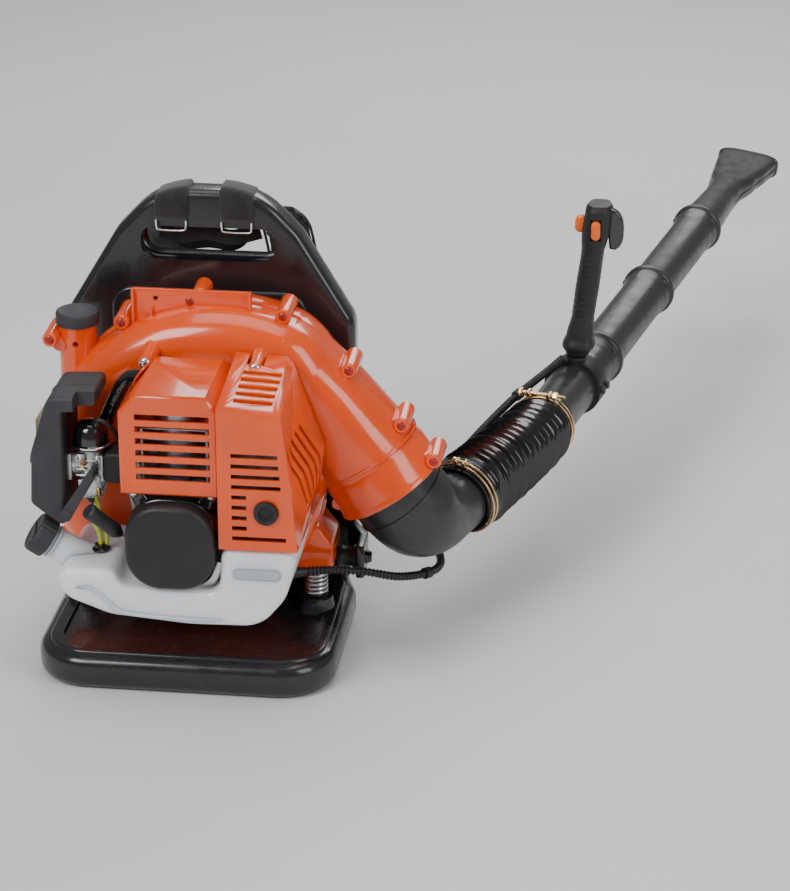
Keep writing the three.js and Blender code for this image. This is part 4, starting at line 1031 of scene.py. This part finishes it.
carburettor_trim()
piece(
    "primer_dome",
    lathe(
        [(9, 0.4), (9.2, 1.4), (8.4, 3), (8, 6), (6, 9.6), (3, 11.4), (0, 11.9)], (-95, -125, 225),
        (0, 0, -1), 40
    ),
    "black_rubber", "primer_bulb", body="primer"
)


def choke():
    pivot, tip = V((-88, -166, 262)), V((-121, -166, 208))
    down = (tip - pivot).normalized()
    lean = degrees(atan2(-down.x, -down.z))
    outline = rounded([(-5, 5, 4.5), (5, 5, 4.5), (5.5, -30, 3), (7, -62, 6), (-7, -62, 6), (-5.5, -30, 3)])
    bar = plate(outline, -1.6, 1.6, 0.7, 2)
    blade = turned(bar, pivot, lean)
    hub = rod((-88, -169, 262), (-88, -144, 262), 4.2)
    pad = turned(block((-3.4, -2.4, -58), (3.4, -1.2, -48)), pivot, lean)
    piece("choke_blade", merge(blade, hub, pad), "charcoal_plastic", "choke_lever", body="choke")


choke()


def air_filter():
    corners = [
        (-119, 201, 8), (-119, 331, 3), (-86, 334, 4), (-86, 350, 5), (-134, 348, 12), (-154, 285, 12),
        (-157, 224, 9), (-127, 201, 9)
    ]
    body = plate(rounded(corners), -160, -78, 4, 4)
    notch = block((-106, -170, 330), (-84, -140, 353))
    cavity = block((-150, -152, 213), (-117, -86, 322))
    rib = sweep([V((p[0], -119, p[1])) for p in inset(rounded(corners), -0.3)][14:60], (1.3, 1.3), 10)
    knob = lathe([(9, 0), (9, 6), (8, 8), (3, 8.5)], (-155.5, -119, 262), (-1, 0, 0.1), 24)
    piece("filter_housing", combined(body, [notch, cavity]), "charcoal_plastic", "filter_cover")
    piece("filter_seam", merge(rib, knob), "charcoal_plastic")


air_filter()


# ---- fuel tank -------------------------------------------------------------------------------
NECK, NECK_DIR = V((-114, -142, 158)), V((-0.8, -0.16, 0.58)).normalized()


def fuel_tank():
    outline = rounded(
        [
            (-124, 165, 13), (-120, 131, 40), (-66, 111, 60), (22, 104, 200), (98, 106, 40), (126, 140, 50),
            (140, 196, 12), (57, 196, 12), (54, 146, 14), (-54, 146, 14), (-62, 165, 14)
        ],
        12
    )
    body = plate(outline, -195, -68, 9, 6)
    neck = lathe([(24, -18), (20, -6), (18.2, 6), (17.4, 20), (17.2, 33), (0.5, 33)], NECK, NECK_DIR, 56)
    lip = lathe([(17.2, 26), (19, 27), (19, 29.5), (17.2, 30.5)], NECK, NECK_DIR, 56)
    bead = sweep(
        curve_points(
            [
                (-104, -193.6, 143), (-84, -195.2, 143), (-60, -195.2, 122), (-44, -195.2, 116),
                (10, -195.2, 113), (58, -195.2, 114)
            ],
            60
        ),
        lambda t: 2.2 * sin(pi * t) ** 0.3 + 0.3, 14
    )
    panel = plate(rounded(rectangle(70, 163, 122, 176, 6)), -196.2, -190, 2.4, 4)
    seam = [V((p[0], -131.5, p[1])) for p in inset(outline, -0.6)]
    piece("tank_body", merge(body, neck, lip, bead, panel), "tank_plastic", "fuel_tank", 42)
    piece("tank_seam", piping(seam, 1.0), "tank_plastic")
    piece(
        "tank_bung",
        lathe(
            [(10, 0), (10.6, 1), (10.6, 2.4), (9.4, 3.4), (7.4, 3.8), (6.6, 7), (3.4, 7.4)],
            (-85, -142, 165.4), UP, 40
        ),
        "gloss_black", "tank_grommet"
    )
    route = [
        (-85, -142, 166), (-85, -142, 173), (-86, -143, 186), (-91, -145, 200), (-91, -144.5, 212),
        (-88.5, -141.5, 221.5)
    ]
    piece("fuel_pipe", sweep(curve_points(route, 48), 3, 24), "fuel_line", "fuel_hose")
    second = [(-80, -140, 168), (-78, -141, 180), (-80, -146, 198), (-84, -148, 214), (-88, -142, 228)]
    piece("return_pipe", sweep(curve_points(second, 48), 2.4, 24), "fuel_line")
    clip = lathe([(3.2, 0), (4, 0.6), (4, 3.4), (3.2, 4)], (-89.6, -143, 216.5), (0.35, 0.4, 0.85), 24)
    piece("fuel_pipe_clip", clip, "spring_steel")


fuel_tank()


def ribbed_cap():
    base = NECK + NECK_DIR * 33.4
    u, v = frame_of(NECK_DIR)
    rings = []
    for r, h, depth in (
        (21, 0, 0), (22.2, 0.8, 0.2), (22.6, 2.5, 1), (22.6, 15.5, 1), (22.2, 17.4, 0.5), (20.8, 19.4, 0),
        (19, 20, 0), (17, 18.8, 0), (6, 18.6, 0), (0.3, 18.6, 0)
    ):
        points = []
        for i in range(144):
            a = 2 * pi * i / 144
            groove = depth * (0.5 + 0.5 * cos(24 * a)) ** 2
            points.append(base + NECK_DIR * h + (u * cos(a) + v * sin(a)) * (r - groove))
        rings.append(points)
    bar = sweep([base + NECK_DIR * 19 + u * x for x in range(-16, 17, 4)], (3, 1.6), 16, 3, v)
    piece("tank_lid", merge(loft(rings), bar), "charcoal_plastic", "fuel_cap", 30, body="tank_cap")


ribbed_cap()


# ---- recoil starter --------------------------------------------------------------------------
def starter():
    square = lambda grow: rounded(
        rectangle(2 - 49 - grow, 197 - 49 - grow, 2 + 49 + grow, 197 + 49 + grow, 38), 14
    )
    housing = combined(
        plate(square(0), -179.6, -155, 4, 4), [turned_cutter((2, -176, 199), (2, -150, 199), 37, 48)]
    )
    arms = []
    for s in (-1, 1):
        tip = V((2 + s * 41, -168, 250))
        arms += [
            sweep(
                [V((2 + s * 25, -166, 222)), V((2 + s * 34, -167, 238)), tip],
                lambda t: (11 - 3 * t, 8 - 2 * t), 24, 3, V((1, 0, 0))
            ),
            lathe([(6.5, 0), (7.6, 1), (7.6, 18), (6.5, 19)], (tip.x, -174, tip.z), OUT, 32)
        ]
    piece("starter_body", merge(housing, arms), "gloss_black", "starter_housing", 40)
    for i, s in enumerate((-1, 1)):
        screw(f"starter_screw_{i + 1}", (2 + s * 41, -174, 250), -OUT, 5.4, "root")
    face = plate(square(-0.5), -202, -180, 7, 5)
    hollow = turned_cutter((2, -196, 199), (2, -175, 199), 39, 48)
    slots = [turned(block((-7, -3, 44.5), (7, 3, 52)), (2, -180, 197), a) for a in range(0, 360, 30)]
    piece("starter_face", combined(face, [hollow, *slots]), "black_plastic", "starter_cover", 40)
    arc = curve_points(
        [(-34, -176, 141), (0, -178, 140), (25, -178, 141), (44, -177, 152), (53, -176, 174)], 40
    )
    piece("starter_bracket", sweep(arc, (2.2, 4.5), 14, 4, OUT), "cast_alloy")


starter()
PULL, PULL_DIR = V((-47, -169, 190)), V((-0.55, -0.45, 0.7)).normalized()
GRIP_AT = PULL + PULL_DIR * 14
piece(
    "pull_grip",
    lathe(
        [
            (3, 0), (4, 0.8), (6, 5), (8.2, 9), (8.7, 12), (8.1, 18), (7.8, 30), (8.2, 40), (9, 49),
            (8.6, 52.5), (6.5, 54), (2, 53.4)
        ],
        GRIP_AT, PULL_DIR, 36
    ),
    "black_plastic", "starter_grip", body="pull_handle"
)
rope = piece(
    "pull_rope",
    sweep([PULL + PULL_DIR * (17.6 * i / 40 - 3) for i in range(41)], lambda t: 2 + 0.18 * sin(t * 50), 16),
    "rope_cord", "starter_rope", body=None
)
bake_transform(rope)


# ---- air path --------------------------------------------------------------------------------
def elbow_part():
    start = OUTLET - OUT_DIR * 26
    curve = bezier(start, start + OUT_DIR * 82, ELBOW_END - ELBOW_DIR * 58, ELBOW_END + ELBOW_DIR * 20, 64)
    smooth = lambda t: (lambda k: k * k * (3 - 2 * k))(min(1, max(0, (t - 0.35) / 0.53)))
    radius = lambda t: 54.5 - 2 * t - 16.4 * smooth(t)
    outside = sweep(curve, radius, 72)
    inside = sweep([curve[0] - OUT_DIR * 3, *curve, curve[-1] + ELBOW_DIR * 3], lambda t: radius(t) - 3, 72)
    bore = combined(outside, [inside])
    station = 13
    r = radius(station / 63)
    ridge = [(r - 1, -2.6), (r + 1.6, -1.6), (r + 1.6, 1.6), (r - 1, 2.6)]
    belt = lathe(ridge, curve[station], curve[station + 1] - curve[station], 64)
    piece("air_elbow", merge(bore, belt), "tube_plastic", "elbow", 45, body="elbow")


elbow_part()
HOSE_STEPS = 240
HOSE_POINTS = bezier(
    ELBOW_END, ELBOW_END + ELBOW_DIR * 80, TUBE_START - TUBE_DIR * 90, TUBE_START, HOSE_STEPS
)


def bellows():
    ridges, low, high = 15, 0.12, 0.9

    def size(t):
        if t < 0.09:
            return 41.5
        if t > 0.93:
            return 36
        ease = min(1, (t - 0.09) / 0.03, (0.93 - t) / 0.03)
        phase = (t - low) / (high - low) * ridges
        wave = abs(cos(pi * phase)) ** 0.8
        crest = 49 - 7 * t
        base = 41.5 - 5.5 * t
        return base + (crest - 7 * wave - base) * ease

    outside = sweep(HOSE_POINTS, size, 64, side=TUBE_SIDE)
    run = [HOSE_POINTS[0] - ELBOW_DIR * 2, *HOSE_POINTS[::4], HOSE_POINTS[-1] + TUBE_DIR * 2]
    inside = sweep(run, lambda t: 38.6 - 4.2 * t, 64, side=TUBE_SIDE)
    hose = piece(
        "bellows_hose", combined(outside, [inside]), "hose_rubber", ("hose_lower", "hose_upper"), 60,
        body=None
    )
    a, b = HOSE_POINTS[20] * MM, HOSE_POINTS[220] * MM
    tuple(a)
    tuple(b)
    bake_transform(hose)


bellows()


def wire_clamp(name, t, radius, body, node, bolt):
    i = int(t * (HOSE_STEPS - 1))
    at, d = HOSE_POINTS[i], (HOSE_POINTS[i + 1] - HOSE_POINTS[i - 1]).normalized()
    side = (TUBE_SIDE - d * TUBE_SIDE.dot(d)).normalized()
    up = side.cross(d)
    wires = []
    for off in (-3.6, 3.6):
        loop = [
            at + d * off + (side * cos(a) + up * sin(a)) * (radius + 1.4)
            for a in (2 * pi * k / 96 for k in range(96))
        ]
        wires.append(piping(loop, 1.35, 12))
    top = at + up * (radius + 3.8)
    if bolt:
        shank = lathe([(2.2, 0), (2.2, 52), (1.4, 54)], top - side * 26, side, 24)
        head = lathe([(4.8, 0), (5.2, 0.6), (5.2, 4), (4.6, 4.8)], top - side * 30, side, 6)
        nut = lathe([(4.6, 0), (5.2, 0.6), (5.2, 5), (4.6, 5.6)], top + side * 13, side, 6)
        eyes = [rod(top + side * x - d * 6, top + side * x + d * 6, 3.2) for x in (-18, 8)]
        wires += [shank, head, nut, eyes]
    else:
        wires += [
            rod(top - side * 8, top + side * 9, 2.2),
            lathe([(3.8, 0), (3.8, 3.6)], top - side * 10, side, 6),
            [rod(top + side * x - d * 5, top + side * x + d * 5, 2.6) for x in (-5, 5)]
        ]
    piece(name, merge(*wires), "clamp_brass", (node,), 40, body=body)


wire_clamp("wire_clamp_lower", 0.045, 42.4, "elbow", "hose_clamp_lower", False)
wire_clamp("wire_clamp_upper", 0.95, 36.9, "tube", "hose_clamp_upper", True)
# Where each tube ends along the run, its radius, the depth of its socket and the nozzle's neck.
ENDS, RADII, SOCKET, NECK_RADIUS = (210, 450, 696), (30.5, 29.6, 28.8), 26, 27.6


def on_tube(s):
    return TUBE_START + TUBE_DIR * s


def blower_tube(k):
    s0, s1, r = (ENDS[k - 1] - SOCKET + 2 if k else -22), ENDS[k], RADII[k]
    nxt = (RADII[k + 1] if k < 2 else NECK_RADIUS * 1.02) + 0.35
    start = r if k else 32.6
    out = [
        (start, s0), (start, s0 + 10 if k else 6), (r, s0 + 20 if k else 14), (r, s1 - SOCKET - 8),
        (r + 0.6, s1 - SOCKET - 5), (nxt + 2.2, s1 - SOCKET), (nxt + 2.2, s1 - 9), (nxt + 3, s1 - 7.6),
        (nxt + 5.4, s1 - 6.4), (nxt + 5.8, s1 - 4.8), (nxt + 5.8, s1 - 1.4), (nxt + 5, s1 - 0.2),
        (nxt + 0.3, s1)
    ]
    bore = [(nxt, s1 - 0.4), (nxt, s1 - SOCKET), (r - 2.2, s1 - SOCKET - 3), (r - 2.2, s0), (start, s0)]
    body = lathe(out + bore, TUBE_START, TUBE_DIR, 72)
    lugs = []
    for a in (35, 155, 275):
        turn = radians(a)
        out_way = TUBE_SIDE * cos(turn) + TUBE_UP * sin(turn)
        lugs.append(
            rod(on_tube(s1 - 17) + out_way * nxt, on_tube(s1 - 17) + out_way * (nxt + 4.6), 4.2, 3.6)
        )
    rail = sweep(
        [on_tube(s) - TUBE_UP * (r - 0.2) for s in range(int(s0 + 24), int(s1 - SOCKET - 10), 12)],
        (1.4, 1.1), 12, 3, TUBE_SIDE
    )
    piece(f"blower_tube_{k + 1}", merge(body, lugs, rail), "tube_plastic", f"tube_{k + 1}", 34, body="tube")


for k in range(3):
    blower_tube(k)


def fishtail():
    roll = radians(6)
    u = TUBE_SIDE * cos(roll) - TUBE_UP * sin(roll)
    v = u.cross(TUBE_DIR).normalized()
    stops = [
        (-24, 27.6, 27.6, 2), (4, 27.6, 27.6, 2), (40, 27, 27, 2), (110, 24, 23.5, 2),
        (150, 24.5, 21.5, 2.2), (200, 33, 19, 2.8), (250, 39.5, 17.6, 3.4), (285, 44, 17, 3.8)
    ]

    def at(s, d):
        a, b, power = between(stops, s, lambda start, end: start >= 110 and end < 285)
        return ring(on_tube(ENDS[-1] + s), u, v, a - d, b - d, 80, power)

    steps = [-24 + 309 * i / 60 for i in range(61)]
    outer = [at(s, 0) for s in steps]
    inner = [at(s, 2) for s in reversed(steps)]
    body = loft(outer + inner, True)
    lip = loft(
        [at(280, -0.2), at(281, -1.4), at(285, -1.4), at(285.2, -0.2), at(285, 1.6), at(280, 1.6)], True
    )
    bead = lathe(
        [(28, 5), (30.4, 6.4), (30.4, 10), (28, 11.5), (27.2, 11.5), (27.2, 5)], on_tube(ENDS[-1]),
        TUBE_DIR, 64
    )
    ribs = [
        sweep(
            [
                on_tube(ENDS[-1] + s) + u * (e * x)
                for s, x in ((120, 23), (160, 26), (200, 32.4), (240, 38), (278, 43))
            ],
            1.6, 12
        )
        for e in (-1, 1)
    ]
    piece("fishtail_nozzle", merge(body, lip, bead, ribs), "tube_plastic", "nozzle", 34, body="nozzle")


fishtail()


# ---- control handle --------------------------------------------------------------------------
def handle_point(z):
    t = (z - 200) / 204
    return V((397 + 24 * t, 388 + 12 * t, z))


def handle():
    r = RADII[0] * 1.02 + 0.35
    foot = on_tube(120) + TUBE_UP * (r + 1.5)
    band = lathe(
        [(r, -15), (r + 4.5, -15), (r + 5, -13), (r + 5, 13), (r + 4.5, 15), (r, 15), (r, -15)],
        on_tube(120), TUBE_DIR, 72
    )
    saddle = combined(
        lathe([(18, -14), (15, -4), (13, 5), (11, 6)], foot, TUBE_UP, 40),
        [turned_cutter(on_tube(60), on_tube(180), r + 0.1, 64)]
    )
    ears = [
        rod(on_tube(120 + o) + TUBE_SIDE * (r + 2), on_tube(120 + o) + TUBE_SIDE * (r + 9), 5)
        for o in (-8, 8)
    ]
    piece("handle_band", merge(band, saddle, ears), "black_plastic", "handle_clamp", body="handle")
    stops = [
        (214, 13, 15, 3), (217, 15, 17, 3), (226, 20, 22, 3), (238, 17, 19, 3), (262, 14, 17.5, 2.6),
        (300, 14.5, 17, 2.5), (340, 14, 17.5, 2.6), (372, 17, 21, 3), (398, 16.5, 21, 3), (404, 13, 17, 3)
    ]
    rings = []
    for i in range(90):
        z = 214 + 190 * i / 89
        a, b, power = between(stops, z)
        groove = 0.7 * max(0, sin((z - 256) * 0.9)) if 262 < z < 350 else 0
        rings.append(ring(handle_point(z), V((1, 0, 0)), OUT, a - groove * 0.5, b - groove, 48, power))
    p = handle_point(375)
    slots = [
        block((p.x + 5, p.y - 8, 340), (p.x + 30, p.y + 8, 401)),
        block((p.x - 30, p.y - 7, 366), (p.x - 8, p.y + 7, 390)),
        block((p.x - 6.5, p.y - 30, 363), (p.x + 6.5, p.y - 13, 389))
    ]
    piece("grip_moulding", combined(loft(rings), slots), "black_plastic", "handle_grip", body="handle")
    at = handle_point(394) + V((13, 0, 0))
    curve = lambda a, c, b: [
        tuple(V(a) * (1 - t) ** 2 + 2 * V(c) * t * (1 - t) + V(b) * t * t)
        for t in (k / 12 for k in range(12))
    ]
    top, nose, tip, heel = (at.x - 4, at.z + 5), (at.x + 20, at.z + 4), (
        at.x + 18, at.z - 26
    ), (at.x + 6, at.z - 48)
    outline = curve(top, nose, tip) + curve(tip, (at.x + 18, at.z - 44), heel)
    outline += curve((at.x + 1, at.z - 46), (at.x - 2, at.z - 20), top)
    piece(
        "finger_trigger", plate(outline, at.y - 6.5, at.y + 6.5, 2.4, 4), "gloss_black", "throttle_trigger",
        body="trigger"
    )
    lock = handle_point(377)
    shape = plate(rounded(rectangle(lock.x - 26, 368, lock.x - 13, 388, 6)), lock.y - 6, lock.y + 6, 2, 4)
    ridges = [
        block((lock.x - 26.6, lock.y - 4.5, z), (lock.x - 25, lock.y + 4.5, z + 1.4))
        for z in (373, 377, 381)
    ]
    piece("lock_button", merge(shape, ridges), "signal_orange", "throttle_lock", body="lock")
    seat = handle_point(376)
    face = seat.y - 20.5
    rocker = plate(
        rounded(rectangle(seat.x - 5.5, 364.5, seat.x + 5.5, 387.5, 5)), face - 4, face + 6, 1.8, 4
    )
    ridges = [
        block((seat.x - 3.5, face - 4.6, z), (seat.x + 3.5, face - 3, z + 1.3))
        for z in (368, 372, 379, 383)
    ]
    piece("rocker_switch", merge(rocker, ridges), "signal_orange", "stop_switch", body="switch")


handle()


# ---- control conduit -------------------------------------------------------------------------
ROUTE = [
    (112, -58, 108), (140, -48, 109), (185, -34, 104), (226, -18, 92), (256, 8, 86), (268, 36, 84),
    (262, 70, 88), (246, 98, 110), (252, 132, 138), (270, 176, 154), (292, 224, 168), (314, 262, 182),
    (334, 292, 194), (352, 318, 202), (368, 344, 208), (382, 362, 216)
]


def conduit():
    steps = 900
    whole = curve_points(ROUTE, steps)
    near = lambda p: min(range(steps), key=lambda i: (whole[i] - V(p)).length)
    first, second = near(ROUTE[4]), near(ROUTE[12])
    spans = [
        ("conduit_engine", 0, first, "root", "elbow", 3, 4, "control_conduit_engine"),
        ("conduit_hose", first, second, "elbow", "tube", 5, 11, "control_conduit_hose"),
        ("conduit_handle", second, steps - 1, "tube", "handle", 13, 14, "control_conduit_handle")
    ]
    for name, a, b, one, two, k0, k1, node in spans:
        path = whole[a:b + 1]
        size = lambda t, n=len(path): 4.35 + 0.55 * copysign(1, sin(t * n * 0.9) or 1)
        made = piece(name, sweep(path, size, 16), "conduit_plastic", (node,), 60, body=None)
        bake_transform(made)
    for name, at, body in (("conduit_clip_elbow", first, "elbow"), ("conduit_clip_tube", second, "tube")):
        d = (whole[at + 1] - whole[at - 1]).normalized()
        piece(
            name, lathe([(5, -5), (6.6, -4.4), (6.6, 4.4), (5, 5)], whole[at], d, 32), "black_plastic",
            body=body
        )
    d = (whole[4] - whole[0]).normalized()
    piece(
        "conduit_gland", lathe([(7.5, -8), (7.5, 0), (6.4, 8), (5.2, 18)], whole[0] - d * 2, d, 32),
        "black_rubber"
    )


conduit()
for i, (x, z) in enumerate([(-40, 366.5), (80, 365.5)]):
    screw(f"cover_screw_{i + 1}", (x, -92, z), -OUT, 6.2, "root")
    piece(
        f"cover_post_{i + 1}", lathe([(6.6, 0), (6.9, 4), (9.4, 34), (12, 44)], (x, -88, z), OUT, 36),
        "orange_shell"
    )
piece(
    "exhaust_ring",
    lathe(
        [(8, 0), (8.4, -3.6), (10.6, -4.4), (13, -3.6), (13.4, 0), (13, 6), (8, 20)], (107, -195, 243), OUT,
        48
    ),
    "black_plastic"
)


# ---- stage -----------------------------------------------------------------------------------
def floor():
    made = raw_object(
        "floor",
        (
            [V((x, y, -0.02)) for x, y in ((-6000, -6000), (6000, -6000), (6000, 6000), (-6000, 6000))],
            [(0, 1, 2, 3)]
        ),
        MM
    )
    made.data.materials.append(
        Nodes("floor_finish", (0.78, 0.78, 0.77), 0.8).mottle(3, 0.99, 1.01).material
    )


def softbox(name, where, aim, size, power):
    data = bpy.data.lights.new(name, "AREA")
    data.shape, data.size, data.size_y, data.energy = "RECTANGLE", *size, power
    light = bpy.data.objects.new(name, data)
    light.location = where
    light.rotation_euler = (V(aim) - V(where)).to_track_quat("-Z", "Y").to_euler()
    bpy.context.scene.collection.objects.link(light)


floor()
softbox("key", (-1.6, -2.4, 2.6), (0.05, 0, 0.25), (1.6, 1.6), 75)
softbox("fill", (2.6, -1.6, 1.8), (0.2, 0.2, 0.2), (1.4, 2.0), 38)
softbox("back", (0.6, 2.8, 2.2), (0.1, 0.1, 0.25), (2.4, 1.2), 45)
softbox("top", (0.1, 0.1, 3.2), (0.1, 0.1, 0), (2.2, 2.2), 32)
world = bpy.data.worlds.new("studio")
bpy.context.scene.world = world
world.use_nodes = True
world.node_tree.nodes["Background"].inputs["Color"].default_value = (0.8, 0.82, 0.85, 1)
world.node_tree.nodes["Background"].inputs["Strength"].default_value = 0.32
